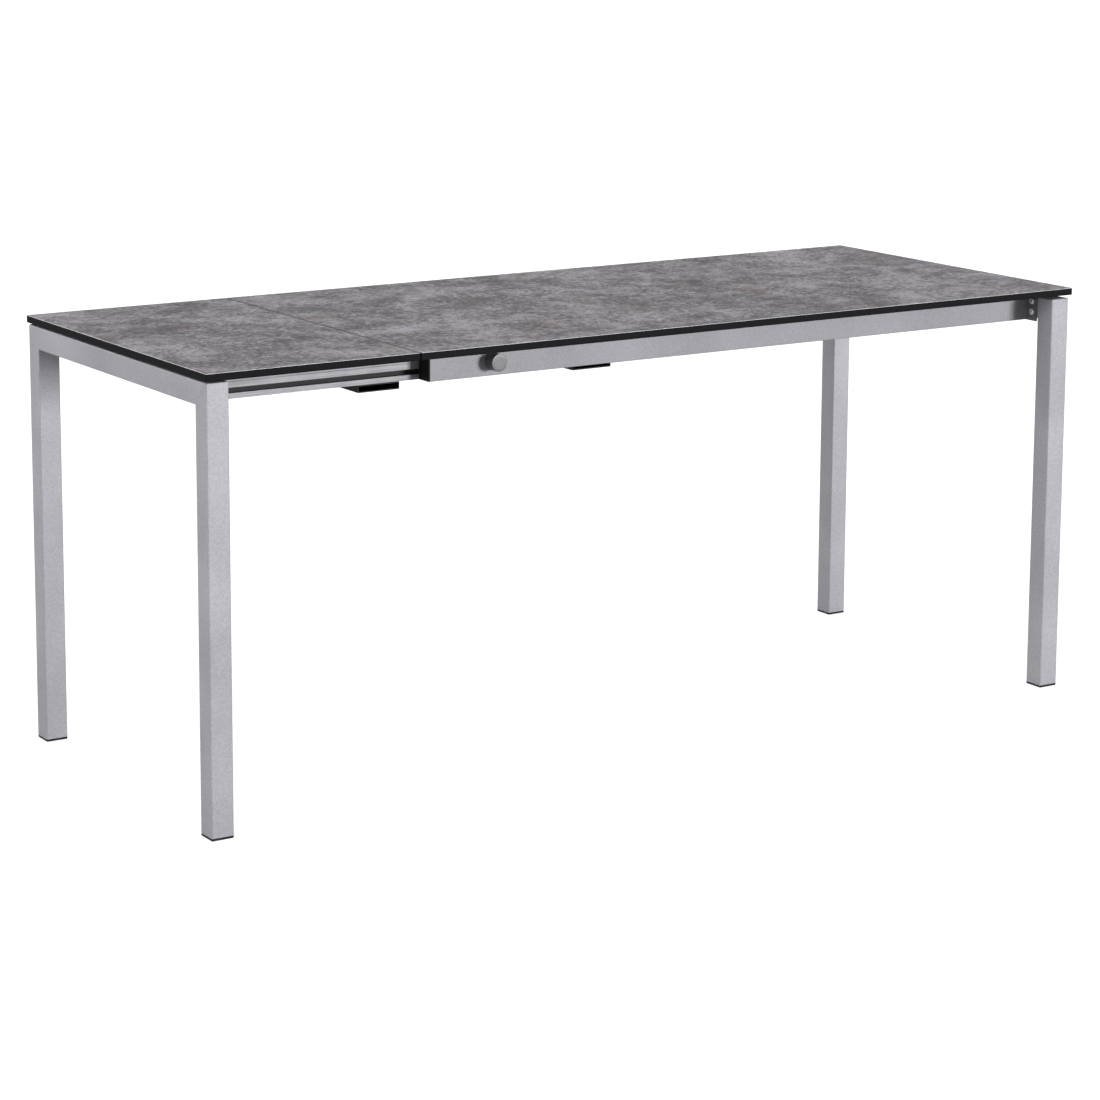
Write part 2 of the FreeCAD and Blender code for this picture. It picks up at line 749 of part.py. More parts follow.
def make_glides():
    """Plastic keys on the back of each main rail that run in the slide rail's slot."""
    keys = []
    for number, x in enumerate(glide_places(), start=1):
        neck_high = "slot_mouth - 2 * glide_clear"
        neck_z = f"{RAIL_Z} + slot_lip + glide_clear"
        neck_deep = "slide_clear + slide_wall + glide_clear"
        neck = box(f"glide_neck_{number}", "glide_length", neck_deep, neck_high, x, RAIL_BACK, neck_z)
        key_size = ("glide_length", "channel_deep - 2 * glide_clear", "channel_high - 2 * glide_clear")
        key_y = f"{SLIDE_Y} + slide_wall + glide_clear"
        key = box(f"glide_key_{number}", *key_size, x, key_y, f"{RAIL_Z} + channel_floor + glide_clear")
        middle = (f"{x} + glide_length / 2", RAIL_BACK, f"{RAIL_Z} + {GLIDE_HEIGHT}")
        stud = cylinder(f"glide_stud_{number}", "stud_radius", "rail_wall", *middle, QUARTER_ABOUT_X)
        head_place = (middle[0], f"{RAIL_BACK} - rail_wall", middle[2])
        head_size = ("stud_radius + stud_head / 2", "stud_head")
        head = cylinder(f"glide_stud_head_{number}", *head_size, *head_place, QUARTER_ABOUT_X)
        keys.append(fuse(f"glide_{number}", [neck, key, stud, head]))
    keep_pair("glides", group("front_glides", keys))


def make_stop_blocks():
    """Steel blocks in the slots of the slide rails that meet the far glides when pulled out."""
    size = ("stop_length", "channel_deep - 2 * plug_clear", "channel_high - 2 * plug_clear")
    spot = (STOP_X, f"{SLIDE_Y} + slide_wall + plug_clear", f"{RAIL_Z} + channel_floor + plug_clear")
    keep_both("stop_blocks", box("stop_block_front", *size, *spot))


# The cradle for the stored leaf.


def bar_places():
    """Where the two cradle bars start, along X."""
    outer = f"({SLIDE_X} + bar_offset)"
    return {"outer": outer, "inner": f"({outer} + bar_pitch)"}


def cradle_screw_places():
    """The screws of both cradle bars at the front, as X and Y."""
    places = []
    for x in bar_places().values():
        for step in ("cradle_screw_inset", "bar_width - cradle_screw_inset"):
            places.append((f"({x} + {step})", f"({SLIDE_Y} + slide_depth / 2)"))
    return places


def make_cradle_bars():
    """Flat black tubes below the slide rails, with plugged ends."""
    plugs = []
    for name, x in bar_places().items():
        body = start_body(f"{name}_cradle_bar")
        section = sketch_on(body, "XZ_Plane")
        rectangle(section, "0", "0", "bar_width", "bar_high")
        rectangle(section, "bar_wall", "bar_wall", "bar_width - bar_wall", "bar_high - bar_wall")
        pad(body, section, BAR_LENGTH, backwards=True)
        holes = sketch_on(body, "XY_Plane")
        for across in ("cradle_screw_inset", "bar_width - cradle_screw_inset"):
            for up in ("slide_depth / 2", f"{BAR_LENGTH} - slide_depth / 2"):
                circle(holes, across, up, SMALL_HOLE)
        pocket(body, holes, "bar_high", backwards=True)
        place(body, x, SLIDE_Y, BAR_Z)
        keep(f"{name}_cradle_bar", body)
        inset = "(bar_wall + plug_clear)"
        size = (f"bar_width - 2 * {inset}", "bar_plug", f"bar_high - 2 * {inset}")
        spot = (f"{x} + {inset}", SLIDE_Y, f"{BAR_Z} + {inset}")
        plugs.append(box(f"{name}_bar_plug", *size, *spot))
    keep_both("cradle_bar_plugs", group("cradle_bar_plugs_front", plugs))


def make_small_screws():
    """Screws up into the main top, inside the rails, and up into the slide rails."""
    head = ("small_screw_head", "small_screw_head_high")
    length = "rail_wall + rail_gap + board_screw_grip"
    screw = make_screw_seed("board_screw", "small_screw_radius", length, *head)
    tip = f"{RAIL_TOP} + rail_gap + board_screw_grip"
    places = [(x, f"{RAIL_Y} + rail_depth / 2", tip) for x in board_screw_places()]
    upside_down = FreeCAD.Rotation(FreeCAD.Vector(1, 0, 0), 180)
    keep_both("main_top_screws", copies("main_top_screw", screw, places, upside_down))
    length = "bar_high + cradle_screw_grip"
    screw = make_screw_seed("cradle_screw", "small_screw_radius", length, *head)
    tip = f"{RAIL_Z} + cradle_screw_grip"
    places = [(x, y, tip) for x, y in cradle_screw_places()]
    keep_both("cradle_screws", copies("cradle_screw", screw, places, upside_down))


# The locks.


def make_locks():
    """A nut in each main rail, and the knob, screw and swivelling pad that clamp the slide."""
    nut_y = f"{RAIL_Y} + rail_wall + lock_nut_length"
    spot = (LOCK_X, nut_y, LOCK_Z)
    outside = cylinder("lock_nut_outside", "lock_nut_radius", "lock_nut_length", *spot, QUARTER_ABOUT_X)
    bore_radius = "lock_screw_radius + lock_bore_clear"
    bore = cylinder("lock_nut_bore", bore_radius, "lock_nut_length", *spot, QUARTER_ABOUT_X)
    keep_pair("lock_nut", cut("front_lock_nut", outside, bore))

    spot = (LOCK_X, LOCK_PAD_FACE, LOCK_Z)
    disc = cylinder("lock_pad_disc", "lock_pad_radius", "lock_pad_thick", *spot, QUARTER_ABOUT_X)
    recess_y = f"{LOCK_PAD_FACE} - lock_pad_thick + lock_pad_recess"
    size = ("lock_screw_radius + tip_clear", "lock_pad_recess")
    recess = cylinder("lock_pad_recess", *size, LOCK_X, recess_y, LOCK_Z, QUARTER_ABOUT_X)
    keep_pair("lock_pad", cut("front_lock_pad", disc, recess))

    length = f"{LOCK_TIP_Y} - {KNOB_BACK} + knob_grip"
    spot = (LOCK_X, LOCK_TIP_Y, LOCK_Z)
    shaft = cylinder("front_lock_screw", "lock_screw_radius", length, *spot, QUARTER_ABOUT_X)
    keep_pair("lock_screw", shaft)

    body = start_body("front_knob")
    profile = sketch_on(body, "XZ_Plane")
    edge = "knob_radius - knob_chamfer"
    corners = [
        ("lock_screw_radius", "0"),
        (edge, "0"),
        ("knob_radius", "knob_chamfer"),
        ("knob_radius", "knob_length - knob_chamfer"),
        (edge, "knob_length"),
        ("0", "knob_length"),
        ("0", "knob_grip"),
        ("lock_screw_radius", "knob_grip"),
    ]
    outline(profile, corners)
    revolve(body, profile)
    place(body, LOCK_X, KNOB_BACK, LOCK_Z, QUARTER_ABOUT_X)
    keep_pair("knob", body)


# The rubber pads.


def make_pads():
    """Pads between the frame and the boards. Those that slide below the main top stay clear of it."""
    pads = []
    places = board_screw_places()
    for number, (x, following) in enumerate(zip(places, places[1:]), start=1):
        middle = f"({x} + {following}) / 2 - pad_length / 2"
        y = f"{RAIL_Y} + (rail_depth - pad_width) / 2"
        size = ("pad_length", "pad_width", "rail_gap")
        pads.append(box(f"rail_pad_{number}", *size, middle, y, RAIL_TOP))
    keep_both("main_rail_pads", group("main_rail_pads_front", pads))

    for name, x, top, thick in (
        ("right_crossbar_pads", MAIN_LEG_X, MAIN_FRAME_TOP, "main_frame_gap"),
        ("left_crossbar_pads", LEAF_LEG_X, LEAF_FRAME_TOP, "leaf_frame_gap - pad_clear"),
    ):
        across = f"{x} + (leg_width - pad_width) / 2"
        y = "0 - crossbar_pad_place - pad_length / 2"
        front = box(f"{name}_front", "pad_width", "pad_length", thick, across, y, top)
        keep_both(name, front)

    pads = []
    for number in range(2):
        x = f"{SLIDE_X} + leaf_pad_offset + {number} * leaf_pad_pitch - pad_length / 2"
        y = f"{SLIDE_Y} + (slide_depth - pad_width) / 2"
        size = ("pad_length", "pad_width", "rail_gap - pad_clear")
        pads.append(box(f"slide_pad_{number + 1}", *size, x, y, RAIL_TOP))
    keep_both("slide_rail_pads", group("slide_rail_pads_front", pads))


def check_model():
    """Stop if any object failed or any node's shape is missing or not valid."""
    for item in doc.Objects:
        if "Invalid" in item.State or "Error" in item.State:
            raise RuntimeError(f"{item.Label} failed: {item.State}")
    labels = [node.Label for node in nodes]
    if len(set(labels)) != len(labels):
        raise RuntimeError("two nodes share a name")
    for node in nodes:
        if node.Shape.isNull() or not node.Shape.isValid() or not node.Shape.Solids:
            raise RuntimeError(f"the shape of {node.Label} is not a valid solid")


def write_parts():
    """Write every node to its own file."""
    os.makedirs("parts", exist_ok=True)
    for node in nodes:
        node.Shape.exportStep(f"parts/{node.Label}.step")


make_top()
make_leg_frames()
make_main_rails()
make_rail_end_caps()
make_flanges()
make_flange_fasteners()
make_slide_rails()
make_slide_rail_end_caps()
make_glides()
make_stop_blocks()
make_cradle_bars()
make_small_screws()
make_locks()
make_pads()
doc.recompute()
check_model()
write_parts()
for node in nodes:
    solids = len(node.Shape.Solids)
    print(f"{node.Label}: {solids} solid(s), {node.Shape.Volume / 1000:.1f} cm3")
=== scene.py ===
"""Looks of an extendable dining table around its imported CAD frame, in metres."""

import json
import logging
import math
from collections.abc import Callable, Iterable, Mapping, Sequence
from dataclasses import dataclass
from enum import Enum
from functools import cache

import bmesh
import bpy
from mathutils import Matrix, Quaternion, Vector

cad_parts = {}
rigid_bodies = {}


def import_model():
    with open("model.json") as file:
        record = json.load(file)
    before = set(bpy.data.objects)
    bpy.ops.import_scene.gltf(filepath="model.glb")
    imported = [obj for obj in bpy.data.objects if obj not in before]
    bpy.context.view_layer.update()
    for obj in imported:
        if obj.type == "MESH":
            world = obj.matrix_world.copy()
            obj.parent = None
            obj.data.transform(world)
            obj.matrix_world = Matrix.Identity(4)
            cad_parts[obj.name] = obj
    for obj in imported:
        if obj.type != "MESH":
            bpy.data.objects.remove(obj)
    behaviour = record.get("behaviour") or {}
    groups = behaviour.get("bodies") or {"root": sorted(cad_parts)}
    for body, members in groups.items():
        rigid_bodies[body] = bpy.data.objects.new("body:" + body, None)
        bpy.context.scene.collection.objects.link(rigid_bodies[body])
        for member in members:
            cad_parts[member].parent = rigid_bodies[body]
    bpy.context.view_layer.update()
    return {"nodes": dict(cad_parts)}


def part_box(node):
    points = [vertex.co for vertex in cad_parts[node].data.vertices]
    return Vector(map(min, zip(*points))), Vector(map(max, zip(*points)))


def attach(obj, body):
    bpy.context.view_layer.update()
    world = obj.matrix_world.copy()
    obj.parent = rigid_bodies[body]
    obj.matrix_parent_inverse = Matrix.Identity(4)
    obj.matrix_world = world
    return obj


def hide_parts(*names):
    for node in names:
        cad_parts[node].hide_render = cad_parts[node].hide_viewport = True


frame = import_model()

log = logging.getLogger("dining_table")

MM = 0.001
RECESS = "recess"
Point = tuple[float, float]
Colour = tuple[float, float, float]
Ring = list[Vector]
Shell = list[Ring]


# Node trees.


class Graph:
    """A node tree that is being built."""

    def __init__(self, tree: bpy.types.NodeTree) -> None:
        """Starts an empty tree."""
        self.tree = tree
        self.tree.nodes.clear()

    def node(
        self, kind: str, inputs: Mapping[str | int, object] | None = None, **settings: object
    ) -> bpy.types.Node:
        """Adds a node of any type.

        Args:
            kind: The node's type.
            inputs: Values, sockets or expressions, by the input's name or number.
            **settings: The node's properties, set before its inputs.

        Returns:
            The new node.
        """
        made = self.tree.nodes.new(kind)
        for name, value in settings.items():
            setattr(made, name, value)
        for key, value in (inputs or {}).items():
            source = value.socket if isinstance(value, Number) else value
            if isinstance(source, bpy.types.NodeSocket):
                self.tree.links.new(source, made.inputs[key])
            else:
                made.inputs[key].default_value = source
        return made


class Number:
    """A number in a node tree, on which Python's arithmetic adds Math nodes."""

    def __init__(self, graph: Graph, socket: bpy.types.NodeSocket) -> None:
        """Wraps the socket that gives the number."""
        self.graph = graph
        self.socket = socket

    def _math(self, operation: str, *values: object) -> "Number":
        """Adds a Math node on some values."""
        made = self.graph.node("ShaderNodeMath", dict(enumerate(values)), operation=operation)
        return Number(self.graph, made.outputs[0])

    def __add__(self, other: object) -> "Number":
        """Adds."""
        return self._math("ADD", self, other)

    __radd__ = __add__

    def __sub__(self, other: object) -> "Number":
        """Takes the other away."""
        return self._math("SUBTRACT", self, other)

    def __rsub__(self, other: object) -> "Number":
        """Takes this away from the other."""
        return self._math("SUBTRACT", other, self)

    def __mul__(self, other: object) -> "Number":
        """Multiplies."""
        return self._math("MULTIPLY", self, other)

    __rmul__ = __mul__

    def root(self) -> "Number":
        """Takes the square root."""
        return self._math("SQRT", self)

    def wave(self) -> "Number":
        """Takes the sine."""
        return self._math("SINE", self)

    def ramped(self, low: float, high: float) -> "Number":
        """Rises smoothly from 0 at low to 1 at high.

        Args:
            low: Where it is still 0.
            high: Where it has reached 1; below low, the ramp falls instead.

        Returns:
            The mask.
        """
        made = self.graph.node(
            "ShaderNodeMapRange",
            {"Value": self, "From Min": low, "From Max": high},
            interpolation_type="SMOOTHSTEP",
        )
        return Number(self.graph, made.outputs[0])


class Grain(Enum):
    """How many times finer a pattern is along X, Y and Z, which gives its lines a direction."""

    EVEN = (1.0, 1.0, 1.0)
    ALONG_X = (0.01, 1.0, 1.0)
    ALONG_Y = (1.0, 0.01, 1.0)
    LAYERS = (0.02, 0.02, 1.0)


class SurfaceGraph(Graph):
    """A material's tree, with the patterns that the finishes share."""

    def __init__(self, tree: bpy.types.NodeTree) -> None:
        """Starts the tree on the piece's own coordinates."""
        super().__init__(tree)
        self.place = self.node("ShaderNodeTexCoord").outputs["Object"]

    def axis(self, name: str) -> Number:
        """Gives one coordinate of the point, in metres."""
        split = self.node("ShaderNodeSeparateXYZ", {0: self.place})
        return Number(self, split.outputs[name])

    def recess(self) -> Number:
        """Gives 1 inside a slot or a socket, and 0 elsewhere."""
        mark = self.node("ShaderNodeAttribute", attribute_name=RECESS)
        return Number(self, mark.outputs["Fac"])

    def noise(
        self,
        per_metre: float,
        detail: float = 3.0,
        roughness: float = 0.55,
        grain: Grain = Grain.EVEN,
        shift: float = 0.0,
    ) -> Number:
        """Adds a noise.

        Args:
            per_metre: How many of its patches lie along a metre.
            detail: How many finer octaves it has.
            roughness: How strong the finer octaves are.
            grain: The direction of its lines.
            shift: Moves it, so that two noises of one scale differ.

        Returns:
            Its value, about 0.5.
        """
        place = {"Vector": self.place, "Location": (shift,) * 3, "Scale": grain.value}
        moved = self.node("ShaderNodeMapping", place).outputs[0]
        look = {"Vector": moved, "Scale": per_metre, "Detail": detail, "Roughness": roughness}
        return Number(self, self.node("ShaderNodeTexNoise", look).outputs[0])

    def mixed(self, share: object, one: object, other: object) -> bpy.types.NodeSocket:
        """Mixes two colours.

        Args:
            share: How much of the other there is.
            one: A colour or a socket.
            other: A colour or a socket.

        Returns:
            The mixed colour.
        """
        ends = [(*c, 1.0) if isinstance(c, tuple) else c for c in (one, other)]
        made = self.node("ShaderNodeMix", {0: share, 6: ends[0], 7: ends[1]}, data_type="RGBA")
        return made.outputs[2]

    def banded(self, tone: Number, stops: Sequence[tuple[float, Colour]]) -> bpy.types.NodeSocket:
        """Colours a number by a ramp.

        Args:
            tone: The number.
            stops: At least two positions with their colours.

        Returns:
            The colour.
        """
        made = self.node("ShaderNodeValToRGB", {0: tone})
        bands = made.color_ramp.elements
        for _ in stops[len(bands):]:
            bands.new(0.5)
        for band, (position, colour) in zip(bands, stops):
            band.position = position
            band.color = (*colour, 1.0)
        return made.outputs[0]

    def bump(self, height: Number, strength: float, rise: float) -> bpy.types.NodeSocket:
        """Turns a height into a normal.

        Args:
            height: The height, from 0 to 1.
            strength: How much of it shows.
            rise: The real rise, in metres.

        Returns:
            The normal.
        """
        look = {"Strength": strength, "Distance": rise, "Height": height}
        return self.node("ShaderNodeBump", look).outputs[0]


# Finishes.


class Finish:
    """A finish whose material is made once and shared by its pieces."""

    name = "finish"
    slot = "finish"

    @cache
    def material(self) -> bpy.types.Material:
        """Makes the material at the first call.

        Returns:
            The material.
        """
        made = bpy.data.materials.new(self.name)
        made.use_nodes = True
        graph = SurfaceGraph(made.node_tree)
        shader = graph.node("ShaderNodeBsdfPrincipled", self.surface(graph))
        graph.node("ShaderNodeOutputMaterial", {"Surface": shader.outputs[0]})
        return made

    def surface(self, graph: SurfaceGraph) -> dict[str, object]:
        """Gives the shader's inputs; each finish has its own."""
        raise NotImplementedError


@dataclass(frozen=True)
class StoneDecor(Finish):
    """Satin sheet with a mottled grey concrete print, a painted highlight on its arris and a black
    backing.
    """

    name: str = "mottled_decor_sheet"
    slot: str = "stone_decor"
    dark: Colour = (0.086, 0.079, 0.085)
    middle: Colour = (0.184, 0.176, 0.187)
    light: Colour = (0.380, 0.366, 0.389)
    warm: Colour = (0.205, 0.142, 0.135)
    cool: Colour = (0.198, 0.198, 0.246)
    # Colour of the painted highlight along the sheet's arris.
    pale: Colour = (0.80, 0.79, 0.81)
    black: Colour = (0.005, 0.0045, 0.0055)
    top: float = 0.765
    seam: float = -0.509

    def surface(self, graph: SurfaceGraph) -> dict[str, object]:
        """Lays clouds, mottles, marks and specks over each other, paints a highlight on the arris and
        paints shade along the seam.

        Args:
            graph: The material's tree.

        Returns:
            The shader's inputs.
        """
        clouds = graph.noise(5.0, 3.0, 0.55)
        patches = graph.noise(17.0, 6.0, 0.68, shift=3.1)
        mottles = graph.noise(95.0, 5.0, 0.75, shift=7.7)
        specks = graph.noise(330.0, 3.0, 0.75, shift=1.3)
        tone = 0.13 * clouds + 0.26 * patches + 0.36 * mottles + 0.25 * specks
        stops = [(0.445, self.dark), (0.50, self.middle), (0.56, self.light)]
        base = graph.banded(tone, stops)
        rust = graph.noise(14.0, 5.0, 0.7, shift=12.4).ramped(0.52, 0.68)
        blue = graph.noise(12.0, 5.0, 0.7, shift=21.9).ramped(0.52, 0.70)
        tinted = graph.mixed(rust * 0.42, base, self.warm)
        tinted = graph.mixed(blue * 0.40, tinted, self.cool)
        ridge = graph.noise(30.0, 5.0, 0.7, shift=31.0) - 0.5
        scratch = (ridge * ridge).ramped(0.0004, 0.0) * patches.ramped(0.44, 0.58)
        marked = graph.mixed(scratch * 0.30, tinted, self.light)
        height = graph.axis("Z")
        # Painted highlight: below the top face, the sheet's arris and edge are mixed towards
        # near-white, down to the black backing.
        arris = height.ramped(self.top - 0.02 * MM, self.top - 0.10 * MM)
        backing = height.ramped(self.top - 0.45 * MM, self.top - 0.55 * MM)
        highlighted = graph.mixed(arris * 0.9, marked, self.pale)
        # Painted shade: the top is darkened nearly to black within a few millimetres of the seam
        # between main top and leaf.
        away = graph.axis("X") - self.seam
        seam_shade = (away * away).ramped((2.7 * MM) ** 2, (1.6 * MM) ** 2)
        edged = graph.mixed(backing, highlighted, self.black)
        return {
            "Base Color": graph.mixed(seam_shade * 0.85, edged, self.black),
            "Roughness": 0.36 + 0.16 * mottles + 0.06 * specks,
            "Normal": graph.bump(mottles * 0.6 + specks * 0.4, 0.22, 0.25 * MM),
            "Specular IOR Level": 0.5,
        }


@dataclass(frozen=True)
class BlackCore(Finish):
    """Sawn and sanded edge of black compact board, scuffed along its upper arris."""

    name: str = "sanded_black_core"
    slot: str = "black_core"
    black: Colour = (0.0035, 0.003, 0.004)
    grey: Colour = (0.013, 0.012, 0.014)
    arris: float = 0.7642

    def surface(self, graph: SurfaceGraph) -> dict[str, object]:
        """Draws the paper layers, saw marks and scuffs.

        Args:
            graph: The material's tree.

        Returns:
            The shader's inputs.
        """
        layers = graph.noise(2600.0, 2.0, 0.5, Grain.LAYERS)
        marks = graph.noise(420.0, 3.0, 0.6, shift=4.0)
        scuffs = graph.axis("Z").ramped(self.arris - 1.6 * MM, self.arris)
        worn = scuffs * graph.noise(130.0, 4.0, 0.7, shift=9.0).ramped(0.48, 0.66)
        base = graph.mixed(0.55 * layers + 0.35 * worn, self.black, self.grey)
        return {
            "Base Color": base,
            "Roughness": 0.42 + 0.18 * marks - 0.08 * worn,
            "Normal": graph.bump(0.6 * layers + 0.4 * marks, 0.25, 0.08 * MM),
            "Specular IOR Level": 0.05,
        }


@dataclass(frozen=True)
class SilverCoat(Finish):
    """Fine silver powder coat on welded tube, with a little wear above the floor."""

    name: str = "silver_powder_coat"
    silver: Colour = (0.237, 0.233, 0.256)
    bright: Colour = (0.390, 0.385, 0.416)
    scuffed: Colour = (0.16, 0.16, 0.165)
    worn_height: float = 0.03
    metal: float = 0.22
    slot: str = "silver_coat"

    def surface(self, graph: SurfaceGraph) -> dict[str, object]:
        """Scatters metal flakes under a faint orange peel.

        Args:
            graph: The material's tree.

        Returns:
            The shader's inputs.
        """
        flakes = graph.noise(1500.0, 1.0, 0.5)
        grit = graph.noise(380.0, 3.0, 0.7, shift=2.0)
        clouds = graph.noise(7.0, 2.0, 0.5, shift=5.0)
        tone = 0.45 * flakes + 0.35 * grit + 0.20 * clouds
        base = graph.mixed(tone.ramped(0.36, 0.64), self.silver, self.bright)
        low = graph.axis("Z").ramped(self.worn_height, 0.004)
        worn = low * graph.noise(210.0, 5.0, 0.75, shift=8.0).ramped(0.55, 0.68)
        return {
            "Base Color": graph.mixed(worn * 0.6, base, self.scuffed),
            "Metallic": self.metal,
            "Roughness": 0.42 + 0.12 * grit + 0.06 * flakes,
            "Normal": graph.bump(0.5 * flakes + 0.5 * grit, 0.16, 0.12 * MM),
        }


@dataclass(frozen=True)
class Anodised(Finish):
    """Satin anodised extrusion with die lines along its length."""

    name: str = "anodised_extrusion"
    slot: str = "anodised_aluminium"
    dark: Colour = (0.15, 0.15, 0.162)
    light: Colour = (0.33, 0.33, 0.35)
    # Colour of the painted shade inside the slot.
    slot_shade: Colour = (0.014, 0.014, 0.015)
    grain: Grain = Grain.ALONG_X
    metal: float = 0.3

    def surface(self, graph: SurfaceGraph) -> dict[str, object]:
        """Draws the die lines, and paints shade into the slot.

        Args:
            graph: The material's tree.

        Returns:
            The shader's inputs.
        """
        lines = graph.noise(1100.0, 3.0, 0.7, self.grain)
        bands = graph.noise(160.0, 2.0, 0.5, self.grain, shift=3.0)
        haze = graph.noise(24.0, 3.0, 0.6, shift=6.0)
        tone = 0.5 * lines + 0.3 * bands + 0.2 * haze
        base = graph.mixed(tone.ramped(0.35, 0.65), self.dark, self.light)
        # Painted shade: the faces inside the slot are turned near black.
        recess = graph.recess()
        return {
            "Base Color": graph.mixed(recess, base, self.slot_shade),
            "Metallic": self.metal - self.metal * recess,
            "Roughness": 0.34 + 0.16 * lines + 0.08 * haze + 0.25 * recess,
            "Normal": graph.bump(lines, 0.22, 0.05 * MM),
        }


@dataclass(frozen=True)
class TurnedAluminium(Finish):
    """Satin aluminium turned on a lathe, with its rings about one axis along Y."""

    centre_x: float
    centre_z: float
    name: str = "turned_aluminium"
    slot: str = "anodised_aluminium"
    dark: Colour = (0.075, 0.075, 0.079)
    light: Colour = (0.135, 0.135, 0.142)
    ring_pitch: float = 0.35 * MM
    metal: float = 0.5

    def surface(self, graph: SurfaceGraph) -> dict[str, object]:
        """Draws rings on the faces and round the side.

        Args:
            graph: The material's tree.

        Returns:
            The shader's inputs.
        """
        across = graph.axis("X") - self.centre_x
        up = graph.axis("Z") - self.centre_z
        radius = (across * across + up * up).root()
        turns = 2 * math.pi / self.ring_pitch
        jitter = graph.noise(300.0, 2.0, 0.5) * 3.0
        rings = ((radius + graph.axis("Y")) * turns + jitter).wave() * 0.5 + 0.5
        haze = graph.noise(260.0, 3.0, 0.6, shift=4.0)
        tone = 0.35 * rings + 0.65 * haze
        return {
            "Base Color": graph.mixed(tone, self.dark, self.light),
            "Metallic": self.metal,
            "Roughness": 0.30 + 0.10 * rings + 0.06 * haze,
            "Normal": graph.bump(rings, 0.18, 0.03 * MM),
        }


@dataclass(frozen=True)
class Moulded(Finish):
    """Black plastic, rubber or coated steel with a fine grain, dusty near the floor."""

    name: str = "grained_black_plastic"
    black: Colour = (0.005, 0.005, 0.0055)
    grey: Colour = (0.016, 0.016, 0.017)
    dust: Colour = (0.16, 0.155, 0.15)
    dust_height: float = 0.003
    shine: float = 0.42
    grain: float = 900.0
    slot: str = "black_plastic"

    def surface(self, graph: SurfaceGraph) -> dict[str, object]:
        """Grains the surface and dusts its foot.

        Args:
            graph: The material's tree.

        Returns:
            The shader's inputs.
        """
        pebbles = graph.noise(self.grain, 2.0, 0.6)
        patches = graph.noise(60.0, 3.0, 0.6, shift=3.0)
        low = graph.axis("Z").ramped(self.dust_height, 0.0)
        dusty = low * graph.noise(340.0, 4.0, 0.7, shift=6.0).ramped(0.42, 0.62)
        base = graph.mixed(0.5 * pebbles + 0.4 * patches, self.black, self.grey)
        return {
            "Base Color": graph.mixed(dusty * 0.5, base, self.dust),
            "Roughness": self.shine + 0.14 * pebbles + 0.10 * patches,
            "Normal": graph.bump(pebbles, 0.3, 0.06 * MM),
            "Specular IOR Level": 0.12,
        }


@dataclass(frozen=True)
class BrightMetal(Finish):
    """Plated or stainless steel with hair scratches."""

    name: str = "scratched_stainless"
    dull: Colour = (0.66, 0.66, 0.67)
    shiny: Colour = (0.90, 0.90, 0.91)
    # Colour of the painted shade inside a screw's socket.
    socket_shade: Colour = (0.008, 0.008, 0.008)
    roughness: float = 0.20
    metal: float = 1.0
    slot: str = "bright_steel"

    def surface(self, graph: SurfaceGraph) -> dict[str, object]:
        """Scratches the metal, and paints shade into its sockets.

        Args:
            graph: The material's tree.

        Returns:
            The shader's inputs.
        """
        hairs = graph.noise(2400.0, 3.0, 0.7, Grain.ALONG_Y)
        stains = graph.noise(420.0, 3.0, 0.6, shift=2.0)
        base = graph.mixed(0.5 * hairs + 0.5 * stains, self.dull, self.shiny)
        # Painted shade: the faces inside a socket are near black and not metallic.
        recess = graph.recess()
        return {
            "Base Color": graph.mixed(recess, base, self.socket_shade),
            "Metallic": self.metal - self.metal * recess,
            "Roughness": self.roughness + 0.12 * hairs + 0.08 * stains,
            "Normal": graph.bump(hairs, 0.12, 0.02 * MM),
        }


STONE = StoneDecor()
CORE = BlackCore()
COAT = SilverCoat()
# Painted shade: a darker copy of the silver coat for the main rails, which stand in the shade under the
# top's overhang.
SHADED_RAIL_COAT = SilverCoat("silver_rail_coat", (0.180, 0.177, 0.195), (0.295, 0.291, 0.316))
# Painted shade: a much darker copy of the silver coat for the main rails' flanges, which sit in the
# shaded corner under the top.
SHADED_BRACKET_COAT = SilverCoat("dark_bracket_coat", (0.085, 0.083, 0.090), (0.150, 0.147, 0.158))
RAIL_METAL = Anodised()
PLASTIC = Moulded()
BLACK_STEEL = Moulded(
    "black_coated_steel", (0.011, 0.011, 0.012), (0.034, 0.034, 0.036), shine=0.34, slot="black_steel"
)
RUBBER = Moulded(
    "matt_rubber", (0.020, 0.020, 0.020), (0.045, 0.045, 0.045), shine=0.66, grain=600.0, slot="rubber"
)
BRIGHT = BrightMetal(metal=0.2)
ZINC = BrightMetal(
    "zinc_plate", (0.46, 0.47, 0.48), (0.64, 0.65, 0.67), roughness=0.32, slot="zinc_steel"
)


# Meshes.


class Along(Enum):
    """The axis that a section runs along."""

    X = 0
    Y = 1
    Z = 2

    def point(self, across: float, up: float, run: float) -> Vector:
        """Places a point of a section.

        Args:
            across: The first coordinate in the section.
            up: The second one.
            run: How far along the axis the section stands.

        Returns:
            The point in space.
        """
        placed = [across, up]
        placed.insert(self.value, run)
        return Vector(placed)


def rounded(low: Point, high: Point, radius: float, inset: float = 0.0, steps: int = 4) -> list[Point]:
    """Outlines a rectangle with round corners.

    Args:
        low: Its lowest corner.
        high: Its highest corner.
        radius: The corners' radius.
        inset: How far the outline is drawn in from the rectangle.
        steps: How many edges round a corner.

    Returns:
        The outline, anticlockwise.
    """
    bend = max(radius - inset, 0.05 * MM)
    left, bottom = (side + inset + bend for side in low)
    right, top = (side - inset - bend for side in high)
    middles = ((right, top), (left, top), (left, bottom), (right, bottom))
    points = []
    for quarter, (across, up) in enumerate(middles):
        for step in range(steps + 1):
            turn = (quarter + step / steps) * math.pi / 2
            points.append((across + bend * math.cos(turn), up + bend * math.sin(turn)))
    return points


